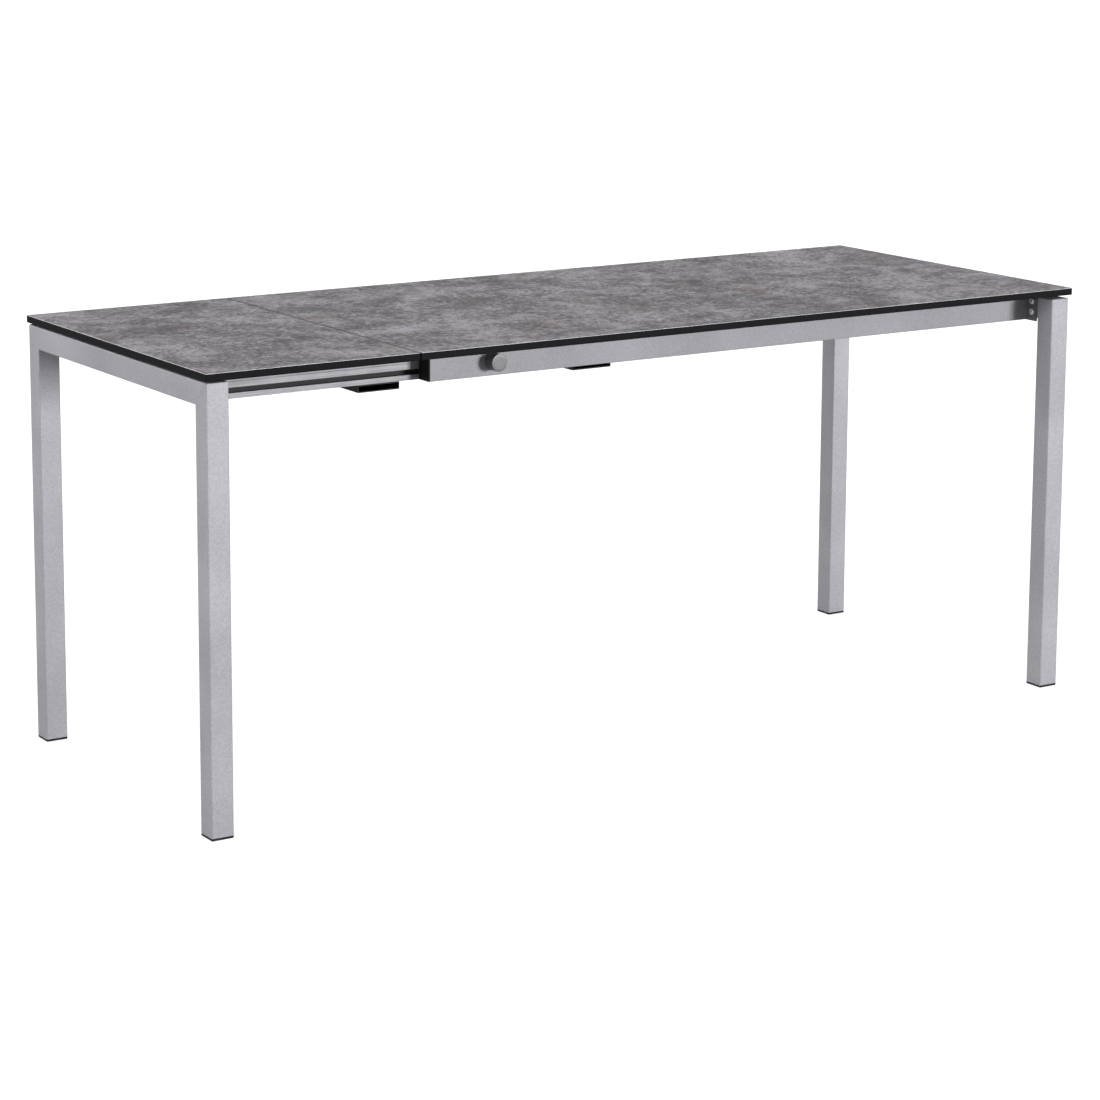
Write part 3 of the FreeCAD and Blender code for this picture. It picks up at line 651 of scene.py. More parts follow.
def softened(outline: Sequence[Point], radius: float, steps: int = 2) -> list[Point]:
    """Rounds every corner of an outline.

    Args:
        outline: The corners.
        radius: How far from each corner its round starts.
        steps: How many edges round a corner.

    Returns:
        The rounded outline.
    """
    points = []
    corners = [Vector(corner) for corner in outline]
    for number, corner in enumerate(corners):
        ends = []
        for other in (corners[number - 1], corners[(number + 1) % len(corners)]):
            away = other - corner
            ends.append(corner + away * min(radius / away.length, 0.4))
        for step in range(steps + 1):
            share = step / steps
            start = ends[0].lerp(corner, share)
            points.append(tuple(start.lerp(corner.lerp(ends[1], share), share)))
    return points


def prism(outline: Sequence[Point], axis: Along, start: float, end: float) -> Shell:
    """Runs an outline straight along an axis."""
    return [[axis.point(*point, run) for point in outline] for run in (start, end)]


def eased(at: float, size: float, inwards: int) -> list[Point]:
    """Eases an edge in three steps from its face inwards, each a place and an inset."""
    steps = ((0, 1), (0.3, 0.3), (1, 0))
    return [(at + inwards * share * size, inset * size) for share, inset in steps]


def stacked(node: str, corner: float, steps: Sequence[Point]) -> Shell:
    """Draws the outline of a node at several heights, each with its inset."""
    low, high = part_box(node)
    return [
        [Vector((*point, level)) for point in rounded(low.xy, high.xy, corner, inset)]
        for level, inset in steps
    ]


def block(
    low: Sequence[float], high: Sequence[float], axis: Along, radius: float, arris: float
) -> Shell:
    """Makes a bar with round long edges and a fine round at both ends.

    Args:
        low: Its lowest corner.
        high: Its highest corner.
        axis: The axis it runs along.
        radius: The radius of its long edges.
        arris: The size of the rounds at its ends.

    Returns:
        The rings of its skin.
    """
    sides = [number for number in range(3) if number != axis.value]
    first, last = (tuple(corner[number] for number in sides) for corner in (low, high))
    start, end = low[axis.value], high[axis.value]
    part = arris * (1 - math.sqrt(0.5))
    steps = [(start, arris), (start + part, part), (start + arris, 0.0)]
    steps += [(end - arris, 0.0), (end - part, part), (end, arris)]
    return [
        [axis.point(*point, run) for point in rounded(first, last, radius, inset)]
        for run, inset in steps
    ]


def plug(low: Sequence[float], high: Sequence[float], axis: Along) -> Shell:
    """Makes a plug that closes a tube's end."""
    return block(low, high, axis, MM, 0.5 * MM)


def turned(centre: Sequence[float], axis: Along, profile: Sequence[tuple], sides: int = 48) -> Shell:
    """Turns a profile about an axis.

    Args:
        centre: The place of the profile's zero.
        axis: The axis of the turn.
        profile: Pairs of a radius and a run along the axis; a radius may be a function of
            the angle.
        sides: How many edges round the turn.

    Returns:
        The rings of its skin.
    """
    shell = []
    for radius, run in profile:
        ring = []
        for number in range(sides):
            turn = 2 * math.pi * number / sides
            reach = radius(turn) if callable(radius) else radius
            spot = axis.point(reach * math.cos(turn), reach * math.sin(turn), run)
            ring.append(spot + Vector(centre))
        shell.append(ring)
    return shell


def hexagon(flats: float) -> Callable[[float], float]:
    """Gives the reach of a hexagon, half its flats' distance at the middle of a side."""
    return lambda turn: flats / math.cos(turn % (math.pi / 3) - math.pi / 6)


def piece(
    name: str,
    shells: Iterable[Shell],
    finish: Finish,
    is_recess: Callable[[Vector], bool] | None = None,
) -> bpy.types.Object:
    """Makes a piece of closed skins, each through its rings.

    Args:
        name: The piece's name.
        shells: The rings of each skin.
        finish: The piece's finish.
        is_recess: Tells from a face's middle whether it lies in a slot or a socket.

    Returns:
        The object.
    """
    built = bmesh.new()
    for shell in shells:
        rings = [[built.verts.new(point) for point in ring] for ring in shell]
        for ring, following in zip(rings, rings[1:]):
            for number in range(len(ring)):
                after = (number + 1) % len(ring)
                built.faces.new(
                    (ring[number], ring[after], following[after], following[number])
                )
        built.faces.new(rings[0])
        built.faces.new(rings[-1])
    bmesh.ops.recalc_face_normals(built, faces=built.faces)
    data = bpy.data.meshes.new(name)
    built.to_mesh(data)
    built.free()
    data.materials.append(finish.material())
    if is_recess:
        marks = data.attributes.new(RECESS, "FLOAT", "FACE").data
        for face, mark in zip(data.polygons, marks):
            mark.value = float(is_recess(face.center))
    return shown(name, data)


def shown(name: str, data: bpy.types.Mesh, sharp: float = 38.0) -> bpy.types.Object:
    """Puts a mesh in the scene, smooth except across its sharp edges.

    Args:
        name: The object's name.
        data: The mesh.
        sharp: The angle past which an edge is sharp, in degrees.

    Returns:
        The object.
    """
    data.shade_smooth()
    data.set_sharp_from_angle(angle=math.radians(sharp))
    made = bpy.data.objects.new(name, data)
    bpy.context.scene.collection.objects.link(made)
    even = made.modifiers.new("even_normals", "WEIGHTED_NORMAL")
    even.keep_sharp = True
    return made


def settle(made: bpy.types.Object, body: str, slot: str, *nodes: str) -> None:
    """Fixes a piece to its body in place of CAD nodes.

    Args:
        made: The piece.
        body: The body it rides on.
        slot: The record's slot of its finish; not used.
        *nodes: The CAD nodes it stands for.
    """
    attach(made, body)
    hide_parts(*nodes)
    log.info("%s rides on %s in place of %s", made.name, body, ", ".join(nodes))


def remake(
    node: str,
    kind: str,
    shells: Iterable[Shell],
    finish: Finish,
    body: str,
    slot: str | None = None,
    is_recess: Callable[[Vector], bool] | None = None,
) -> None:
    """Makes a piece in place of one CAD node.

    Args:
        node: The CAD node.
        kind: What the piece is, which ends its name.
        shells: The rings of each skin.
        finish: The piece's finish.
        body: The body it rides on.
        slot: The record's slot, where it isn't the finish's own.
        is_recess: Tells from a face's middle whether it lies in a slot or a socket.
    """
    made = piece(f"{node}_{kind}", shells, finish, is_recess)
    settle(made, body, slot or finish.slot, node)


def remake_flange(flange: str, finish: Finish, body: str) -> None:
    """Makes a flange as a plate with eased edges, in place of its CAD node."""
    plate = block(*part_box(flange), Along.X, 0.8 * MM, 0.4 * MM)
    remake(flange, "plate", [plate], finish, body)


# Geometry Nodes.


class PatternTree:
    """A Geometry Nodes tree whose inputs are set by their identifiers."""

    def __init__(self, name: str, inputs: Mapping[str, str]) -> None:
        """Starts the tree with its named inputs and one geometry output.

        Args:
            name: The tree's name.
            inputs: Each input's name and socket type.
        """
        self.tree = bpy.data.node_groups.new(name, "GeometryNodeTree")
        self.graph = Graph(self.tree)
        self.ids = {}
        face = self.tree.interface
        for label, kind in inputs.items():
            socket = face.new_socket(label, in_out="INPUT", socket_type=kind)
            self.ids[label] = socket.identifier
        face.new_socket("Geometry", in_out="OUTPUT", socket_type="NodeSocketGeometry")
        self.given = self.graph.node("NodeGroupInput").outputs

    def value(self, label: str) -> Number:
        """Gives an input as a number."""
        return Number(self.graph, self.given[label])

    def close(self, geometry: bpy.types.NodeSocket) -> None:
        """Realizes the geometry, gives it the material and sends it out."""
        real = self.graph.node("GeometryNodeRealizeInstances", {0: geometry}).outputs[0]
        inputs = {0: real, "Material": self.given["Material"]}
        painted = self.graph.node("GeometryNodeSetMaterial", inputs)
        self.graph.node("NodeGroupOutput", {0: painted.outputs[0]})

    def grow(self, name: str, values: Mapping[str, object]) -> bpy.types.Object:
        """Runs the tree and keeps its result as a plain mesh.

        Args:
            name: The new piece's name.
            values: A value for each input.

        Returns:
            The piece.
        """
        holder = bpy.data.objects.new("holder", bpy.data.meshes.new("holder"))
        bpy.context.scene.collection.objects.link(holder)
        modifier = holder.modifiers.new("pattern", "NODES")
        modifier.node_group = self.tree
        for label, value in values.items():
            modifier[self.ids[label]] = value
        graph = bpy.context.evaluated_depsgraph_get()
        data = bpy.data.meshes.new_from_object(holder.evaluated_get(graph))
        holder.modifiers.remove(modifier)
        bpy.data.objects.remove(holder)
        data.name = name
        return shown(name, data)


class CopyTree(PatternTree):
    """Copies of one seed on a grid, each turned at random about its own axis."""

    def __init__(self) -> None:
        """Builds the tree."""
        kinds = {
            "Seed": "NodeSocketObject",
            "Material": "NodeSocketMaterial",
            "First": "NodeSocketVector",
            "Step": "NodeSocketVector",
            "Count": "NodeSocketInt",
            "Row Step": "NodeSocketVector",
            "Rows": "NodeSocketInt",
            "Axis": "NodeSocketVector",
            "Turn": "NodeSocketFloat",
        }
        super().__init__("copies_on_a_grid", kinds)
        node, given = self.graph.node, self.given
        lines = []
        for count, start, step in (("Count", "First", "Step"), ("Rows", None, "Row Step")):
            inputs = {"Count": given[count], "Offset": given[step]}
            if start:
                inputs["Start Location"] = given[start]
            lines.append(node("GeometryNodeMeshLine", inputs).outputs[0])
        line = node("GeometryNodeInstanceOnPoints", {"Points": lines[1], "Instance": lines[0]})
        grid = node("GeometryNodeRealizeInstances", {0: line.outputs[0]}).outputs[0]
        draw = {"Max": given["Turn"], "Seed": 7}
        chance = node("FunctionNodeRandomValue", draw, data_type="FLOAT")
        angle = next(socket for socket in chance.outputs if socket.enabled)
        inputs = {"Axis": given["Axis"], "Angle": angle}
        turn = node("FunctionNodeAxisAngleToRotation", inputs).outputs[0]
        seed = node("GeometryNodeObjectInfo", {0: given["Seed"]}).outputs["Geometry"]
        inputs = {"Points": grid, "Instance": seed, "Rotation": turn}
        self.close(node("GeometryNodeInstanceOnPoints", inputs).outputs[0])

    def spread(
        self,
        name: str,
        seed: bpy.types.Object,
        first: Sequence[float],
        line: tuple[int, Sequence[float]],
        rows: tuple[int, Sequence[float]] = (1, (0.0, 0.0, 0.0)),
        spin: tuple[Sequence[float], float] = ((0.0, 0.0, 1.0), 0.0),
    ) -> bpy.types.Object:
        """Copies a seed and removes it.

        Args:
            name: The new piece's name.
            seed: An object about the origin, with the material of the copies.
            first: The first copy's place.
            line: How many copies a line has, and the step between them.
            rows: How many lines there are, and the step between them.
            spin: The axis that a copy turns about, and the most it turns, in radians.

        Returns:
            The piece.
        """
        made = self.grow(
            name,
            {
                "Seed": seed,
                "Material": seed.data.materials[0],
                "First": tuple(first),
                "Count": line[0],
                "Step": tuple(line[1]),
                "Rows": rows[0],
                "Row Step": tuple(rows[1]),
                "Axis": tuple(spin[0]),
                "Turn": spin[1],
            },
        )
        bpy.data.objects.remove(seed)
        return made


class TubeTree(PatternTree):
    """A rectangular tube along X with a row of access holes in its underside."""

    past_ends = 10 * MM

    def __init__(self) -> None:
        """Builds the tree."""
        numbers = ("Wide", "High", "Wall", "Corner", "Length")
        numbers += ("Hole Radius", "Hole First", "Hole Step")
        kinds = dict.fromkeys(numbers, "NodeSocketFloat")
        kinds |= {
            "Hole Count": "NodeSocketInt",
            "Place": "NodeSocketVector",
            "Side Holes": "NodeSocketObject",
            "Material": "NodeSocketMaterial",
        }
        super().__init__("drilled_tube", kinds)
        node, given, value = self.graph.node, self.given, self.value
        walls = 2.0 * value("Wall")
        outside = self._bar(value("Wide"), value("High"), value("Corner"), 0.0)
        inner = (value("Wide") - walls, value("High") - walls)
        inside = self._bar(*inner, value("Corner"), self.past_ends)
        size = {"Vertices": 32, "Radius": given["Hole Radius"], "Depth": walls}
        drill = node("GeometryNodeMeshCylinder", size).outputs[0]
        first = node("ShaderNodeCombineXYZ", {0: given["Hole First"], 2: value("High") * -0.5})
        step = node("ShaderNodeCombineXYZ", {0: given["Hole Step"]}).outputs[0]
        row = {"Count": given["Hole Count"], "Start Location": first.outputs[0], "Offset": step}
        spots = node("GeometryNodeMeshLine", row).outputs[0]
        drills = node("GeometryNodeInstanceOnPoints", {"Points": spots, "Instance": drill})
        holes = node("GeometryNodeRealizeInstances", {0: drills.outputs[0]})
        placed = self._carried(outside)
        removed = [self._carried(inside), self._carried(holes.outputs[0])]
        side = node("GeometryNodeObjectInfo", {0: given["Side Holes"]})
        removed.append(side.outputs["Geometry"])
        for tool in removed:
            cut = node("GeometryNodeMeshBoolean", operation="DIFFERENCE", solver="EXACT")
            self.tree.links.new(placed, cut.inputs[0])
            self.tree.links.new(tool, cut.inputs[1])
            placed = cut.outputs[0]
        self.close(placed)

    def _bar(self, wide: Number, high: Number, corner: Number, past: float) -> bpy.types.NodeSocket:
        """Runs a rounded section along X.

        Args:
            wide: The section's width along Y.
            high: Its height along Z.
            corner: Its corners' radius.
            past: How far it runs past both ends of the tube.

        Returns:
            The solid bar.
        """
        node = self.graph.node
        section = node("GeometryNodeCurvePrimitiveQuadrilateral", {0: wide, 1: high}).outputs[0]
        rounds = {0: section, "Count": 4, "Radius": corner}
        profile = node("GeometryNodeFilletCurve", rounds, mode="POLY").outputs[0]
        end = node("ShaderNodeCombineXYZ", {0: self.value("Length") + past}).outputs[0]
        path = node("GeometryNodeCurvePrimitiveLine", {0: (-past, 0.0, 0.0), 1: end}).outputs[0]
        swept = {0: path, "Profile Curve": profile, "Fill Caps": True}
        return node("GeometryNodeCurveToMesh", swept).outputs[0]

    def _carried(self, geometry: bpy.types.NodeSocket) -> bpy.types.NodeSocket:
        """Moves a shape to the tube's place."""
        inputs = {0: geometry, "Translation": self.given["Place"]}
        return self.graph.node("GeometryNodeTransform", inputs).outputs[0]


# Fasteners.


@dataclass(frozen=True)
class ButtonScrew:
    """A domed screw with a hexagon socket, its shank along an axis from the head's underside."""

    radius: float
    shank: float
    head: float
    head_high: float
    axis: Along
    towards: int
    socket_share: float = 0.42
    socket_deep: float = 2.0 * MM
    tip: float = 0.8 * MM

    def seed(self, finish: Finish) -> bpy.types.Object:
        """Makes one screw about the origin.

        Args:
            finish: The screw's finish.

        Returns:
            The screw.
        """
        high, wide = self.head_high, self.head
        flats = hexagon(wide * self.socket_share)
        dome = [(1.0, 0.0), (1.0, 0.25), (0.96, 0.45), (0.86, 0.68), (0.70, 0.87), (0.56, 0.97)]
        profile = [(0.6 * self.radius, self.shank), (self.radius, self.shank - self.tip)]
        profile += [(self.radius, 0.0)]
        profile += [(wide * share, -high * rise) for share, rise in dome]
        profile += [(hexagon(wide * (self.socket_share + 0.03)), -high)]
        profile += [(flats, -high + 0.2 * MM), (flats, -high + self.socket_deep)]
        profile += [(wide * 0.12, -high + self.socket_deep + 0.5 * MM)]
        runs = [(reach, run * self.towards) for reach, run in profile]

        def in_socket(middle: Vector) -> bool:
            """Tells whether a point lies inside the socket."""
            run = middle[self.axis.value] * self.towards
            off = (middle.length_squared - run * run) ** 0.5
            return -high + 0.1 * MM < run < 0.0 and off < wide * self.socket_share

        # The socket's faces are marked, and the finish paints shade on them.
        return piece("screw_seed", [turned((0, 0, 0), self.axis, runs)], finish, in_socket)


# The table.


class Side(Enum):
    """The front and the back of the table; the value is the direction of Y."""

    front = -1
    back = 1


@dataclass
class Board:
    """A compact board: a black core and the decor sheet pressed onto it."""

    core: str
    body: str
    corner: float = 1.2 * MM
    under_arris: float = 1.1 * MM
    top_arris: float = 0.6 * MM

    def make(self) -> None:
        """Makes the core and the sheet."""
        low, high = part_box(self.core)
        steps = [*eased(low.z, self.under_arris, 1), (high.z, 0.0)]
        remake(self.core, "core", [stacked(self.core, self.corner, steps)], CORE, self.body)
        decor = f"{self.core}_decor"
        low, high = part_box(decor)
        steps = [(low.z, 0.0), *reversed(eased(high.z, self.top_arris, -1))]
        remake(decor, "sheet", [stacked(decor, self.corner, steps)], STONE, self.body)


@dataclass
class LegFrame:
    """Two legs and a crossbar of square tube, mitred and welded, on plastic feet."""

    name: str
    body: str
    corner: float = 2.2 * MM
    seam_wide: float = 0.9 * MM
    seam_deep: float = 0.5 * MM
    foot_inset: float = 0.6 * MM
    foot_round: float = 1.2 * MM
    plug_inset: float = 2.4 * MM

    def make(self) -> None:
        """Makes the legs, the feet and the crossbar."""
        for side in Side:
            leg = f"{side.name}_{self.name}_leg"
            remake(leg, "tube", [self._leg(leg, side)], COAT, self.body)
            foot = f"{side.name}_{self.name}_foot"
            remake(foot, "glide", self._foot(foot), PLASTIC, self.body)
        bar = f"{self.name}_crossbar"
        remake(bar, "tube", [self._crossbar(bar)], COAT, self.body)

    def _leg(self, node: str, side: Side) -> Shell:
        """Draws a leg from its foot to the mitre.

        Args:
            node: The leg's CAD node.
            side: The side of the table.

        Returns:
            The rings of its skin.
        """
        low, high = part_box(node)
        outer = low.y if side is Side.front else high.y
        ease = 0.4 * MM

        def ring(inset: float, level: Callable[[float], float]) -> Ring:
            """Draws the section with each point at its own level."""
            section = rounded(low.xy, high.xy, self.corner, inset)
            return [Vector((across, along, level(along))) for across, along in section]

        def mitre(along: float) -> float:
            """Gives the height of the mitre above a point."""
            return high.z - abs(along - outer)

        return [
            ring(ease, lambda _: low.z),
            ring(0.0, lambda _: low.z + ease),
            ring(0.0, lambda along: mitre(along) - self.seam_wide),
            ring(self.seam_deep, mitre),
        ]

    def _crossbar(self, node: str) -> Shell:
        """Draws a crossbar between its mitres.

        Args:
            node: The crossbar's CAD node.

        Returns:
            The rings of its skin.
        """
        low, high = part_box(node)
        rings = []
        steps = ((low.y, 1, self.seam_deep, 0.0), (low.y, 1, 0.0, self.seam_wide))
        steps += ((high.y, -1, 0.0, self.seam_wide), (high.y, -1, self.seam_deep, 0.0))
        for end, inwards, inset, back in steps:
            section = rounded((low.x, low.z), (high.x, high.z), self.corner, inset)
            reach = [(across, up, end + inwards * (high.z - up + back)) for across, up in section]
            rings.append([Vector((across, run, up)) for across, up, run in reach])
        return rings

    def _foot(self, node: str) -> list[Shell]:
        """Draws a foot's sole and its plug.

        Args:
            node: The foot's CAD node.

        Returns:
            The skins of the sole and of the plug.
        """
        low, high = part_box(node)
        leg_low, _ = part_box(node.replace("foot", "leg"))
        top = leg_low.z
        steps = eased(low.z, self.foot_round, 1)
        steps += [(top - self.foot_inset, 0.0), (top, self.foot_inset)]
        sole = stacked(node, self.corner, steps)
        inset = Vector((self.plug_inset, self.plug_inset))
        plug_low, plug_high = low.xy + inset, high.xy - inset
        return [sole, plug((*plug_low, top - MM), (*plug_high, high.z), Along.Z)]


@dataclass
class MainRail:
    """A drilled tube under the main top, with a cap at one end and a flange at the other."""

    side: Side
    tubes: TubeTree
    wall: float = 2 * MM
    corner: float = 1.2 * MM
    plug_clear: float = 0.2 * MM
    access_radius: float = 6 * MM
    access_count: int = 4
    access_inset: float = 60 * MM
    screw_hole: float = 4.3 * MM
    pad_hole: float = 7.5 * MM

    def make(self) -> None:
        """Makes the tube, its cap and its flange."""
        self._tube()
        side = self.side.name
        cap = f"{side}_rail_end_cap"
        low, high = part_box(cap)
        rail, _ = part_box(f"{side}_main_rail")
        face = block(low, (rail.x, high.y, high.z), Along.X, self.corner, 0.5 * MM)
        inset = self.wall + self.plug_clear
        plug_low = (rail.x - MM, low.y + inset, low.z + inset)
        plug_high = (high.x, high.y - inset, high.z - inset)
        shells = [face, plug(plug_low, plug_high, Along.X)]
        remake(cap, "moulding", shells, PLASTIC, "main_frame")
        remake_flange(f"{side}_rail_flange", SHADED_BRACKET_COAT, "main_frame")

    def _tube(self) -> None:
        """Makes the tube with its access holes and the holes of the lock."""
        side = self.side.name
        node = f"{side}_main_rail"
        low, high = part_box(node)
        knob_low, knob_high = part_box(f"{side}_knob")
        lock = (knob_low + knob_high) / 2
        outer, inner = (low.y, high.y) if self.side is Side.front else (high.y, low.y)
        drills = []
        for radius, wall in ((self.screw_hole, outer), (self.pad_hole, inner)):
            reach = 2 * self.wall
            profile = [(radius, -reach), (radius, reach)]
            drills.append(turned((lock.x, wall, lock.z), Along.Y, profile))
        cutters = piece("lock_drills", drills, COAT)
        long = high.x - low.x
        pitch = (long - 2 * self.access_inset) / (self.access_count - 1)
        tube = self.tubes.grow(
            f"{node}_tube",
            {
                "Wide": high.y - low.y,
                "High": high.z - low.z,
                "Wall": self.wall,
                "Corner": self.corner,
                "Length": long,
                "Hole Radius": self.access_radius,
                "Hole First": self.access_inset,
                "Hole Step": pitch,
                "Hole Count": self.access_count,
                "Place": (low.x, (low.y + high.y) / 2, (low.z + high.z) / 2),
                "Side Holes": cutters,
                "Material": SHADED_RAIL_COAT.material(),
            },
        )
        bpy.data.objects.remove(cutters)
        settle(tube, "main_frame", SHADED_RAIL_COAT.slot, node)


@dataclass
class SlideRail:
    """An extruded rail with a T-slot and two fine grooves towards the main rail."""

    side: Side
    lip: float = 9 * MM
    mouth: float = 9 * MM
    wall: float = 2.5 * MM
    channel_low: float = 6 * MM
    channel_high: float = 21 * MM
    channel_deep: float = 8 * MM
    grooves: tuple[float, float] = (40 * MM, 28 * MM)
    groove_half: float = 0.6 * MM
    edge: float = 0.45 * MM

    def make(self) -> None:
        """Makes the rail and its flange."""
        side = self.side.name
        node = f"{side}_slide_rail"
        low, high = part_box(node)
        section = softened(self._section(low.y, high.y, low.z, high.z), self.edge)
        face = low.y if self.side is Side.front else high.y

        def in_channel(middle: Vector) -> bool:
            """Tells whether a point lies inside the slot."""
            deep = abs(middle.y - face)
            rise = middle.z - low.z
            within = 0.9 * self.wall < deep < self.wall + self.channel_deep + 0.1 * MM
            return within and self.channel_low - 0.1 * MM < rise < self.channel_high + 0.1 * MM

        shells = [prism(section, Along.X, low.x, high.x)]
        # The slot's faces are marked, and the finish paints shade on them.
        remake(node, "extrusion", shells, RAIL_METAL, "carriage", is_recess=in_channel)
        remake_flange(f"{side}_slide_flange", COAT, "carriage")

    def _section(self, near: float, far: float, under: float, top: float) -> list[Point]:
        """Draws the section.

        Args:
            near: The lowest Y of the rail.
            far: The highest Y.
            under: The height of its underside.
            top: The height of its top.

        Returns:
            The outline, with the slot on the side of the main rail.
        """
        face, back = (near, far) if self.side is Side.front else (far, near)
        depth = abs(far - near)
        corners = [(0.0, 0.0), (depth, 0.0), (depth, top - under), (0.0, top - under)]
        half = self.groove_half
        for level in self.grooves:
            corners += [(0.0, level + half), (half, level), (0.0, level - half)]
        slot_top = self.lip + self.mouth
        bottom = self.wall + self.channel_deep
        corners += [(0.0, slot_top), (self.wall, slot_top), (self.wall, self.channel_high)]
        corners += [(bottom, self.channel_high), (bottom, self.channel_low)]
        corners += [(self.wall, self.channel_low), (self.wall, self.lip), (0.0, self.lip)]
        inwards = 1 if back > face else -1
        return [(face + inwards * deep, under + level) for deep, level in corners]


@dataclass
class Lock:
    """A knob on a screw that presses a swivelling pad against the slide rail."""

    side: Side
    edge: float = 0.9 * MM
    thread_pitch: float = 1.25 * MM
    thread_deep: float = 0.5 * MM

    def make(self) -> None:
        """Makes the knob, the screw and the pad."""
        side = self.side.name
        knob = f"{side}_knob"
        low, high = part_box(knob)
        centre = (low + high) / 2
        face = low.y if self.side is Side.front else high.y
        radius = (high.x - low.x) / 2
        long = high.y - low.y
        edges = [*eased(0.0, self.edge, 1), *reversed(eased(long, self.edge, -1))]
        profile = [(radius - inset, run) for run, inset in edges]
        middle = 0.6 * radius
        profile = [(middle, 0.0), *profile, (middle, long)]
        runs = [(reach, -self.side.value * run) for reach, run in profile]
        shell = turned((centre.x, face, centre.z), Along.Y, runs, 72)
        metal = TurnedAluminium(centre.x, centre.z)
        remake(knob, "turned", [shell], metal, f"{side}_lock_turn")
        self._thread(f"{side}_lock_screw", centre)
        pad = f"{side}_lock_pad"
        low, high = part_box(pad)
        reach = (high.x - low.x) / 2
        narrow = reach - self.edge
        soft = [(narrow, low.y), (reach, low.y + self.edge)]
        soft += [(reach, high.y - self.edge), (narrow, high.y)]
        shell = turned((centre.x, 0, centre.z), Along.Y, soft)
        remake(pad, "disc", [shell], PLASTIC, f"{side}_lock_clamp")

    def _thread(self, node: str, centre: Vector) -> None:
        """Makes the screw with its thread as rings.

        Args:
            node: The screw's CAD node.
            centre: A point on the lock's axis.
        """
        low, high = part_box(node)
        radius = (high.x - low.x) / 2
        root = radius - self.thread_deep
        pitch = self.thread_pitch
        profile = []
        for number in range(int((high.y - low.y) / pitch)):
            start = low.y + number * pitch
            profile += [(root, start), (radius, start + 0.35 * pitch)]
            profile += [(radius, start + 0.55 * pitch)]
        profile += [(root, high.y)]
        shell = turned((centre.x, 0, centre.z), Along.Y, profile, 32)
        remake(node, "thread", [shell], ZINC, node.replace("screw", "turn"), BRIGHT.slot)


@dataclass
class Cradle:
    """Two flat black bars below the slide rails, on which the leaf is stored."""

    copies: CopyTree
    corner: float = 1.6 * MM
    arris: float = 0.3 * MM
    plug_inset: float = 1.7 * MM
    plug_stands: float = 0.35 * MM
    screw_inset: float = 20 * MM
    screw_radius: float = 2.5 * MM
    screw_head: float = 4.6 * MM

    def make(self) -> None:
        """Makes the bars, their plugs and their screws."""
        boxes = []
        for name in ("outer", "inner"):
            node = f"{name}_cradle_bar"
            low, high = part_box(node)
            boxes.append((low, high))
            bar = block(low, high, Along.Y, self.corner, self.arris)
            remake(node, "tube", [bar], BLACK_STEEL, "carriage")
        low, high = boxes[0]
        pitch = boxes[1][0] - low
        self._plugs(low, high, pitch)
        self._screws(low, high, pitch)

    def _plugs(self, low: Vector, high: Vector, pitch: Vector) -> None:
        """Closes the bars' ends.

        Args:
            low: The outer bar's lowest corner.
            high: Its highest corner.
            pitch: The step from the outer to the inner bar.
        """
        centre = (low + high) / 2
        half = (high - low) / 2
        stands = self.plug_stands
        lip = Vector((half.x - self.plug_inset, stands, half.z - self.plug_inset))
        seed = piece("plug_seed", [block(-lip, lip, Along.Y, MM, self.arris)], PLASTIC)
        first = (centre.x, low.y + stands, centre.z)
        across = (2, (0.0, high.y - low.y - 2 * stands, 0.0))
        plugs = self.copies.spread("cradle_bar_end_plugs", seed, first, (2, pitch), across)
        settle(plugs, "carriage", PLASTIC.slot, "cradle_bar_plugs")

    def _screws(self, low: Vector, high: Vector, pitch: Vector) -> None:
        """Puts the screws through the bars into the slide rails.

        Args:
            low: The outer bar's lowest corner.
            high: Its highest corner.
            pitch: The step from the outer to the inner bar.
        """
        node_low, node_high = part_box("cradle_screws")
        head_high = low.z - node_low.z
        shank = node_high.z - low.z
        screw = ButtonScrew(self.screw_radius, shank, self.screw_head, head_high, Along.Z, 1)
        pair = (2, (high.x - low.x - 2 * self.screw_inset, 0, 0))
        rail_low, rail_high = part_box("front_slide_rail")
        row = (rail_low.y + rail_high.y) / 2
        across = (2, (0.0, -2 * row, 0.0))
        spin = ((0.0, 0.0, 1.0), math.pi)
        for number in range(2):
            name = f"cradle_screws_{number + 1}"
            first = (low.x + self.screw_inset + number * pitch.x, row, low.z)
            made = self.copies.spread(name, screw.seed(BRIGHT), first, pair, across, spin)
            settle(made, "carriage", BRIGHT.slot, "cradle_screws")


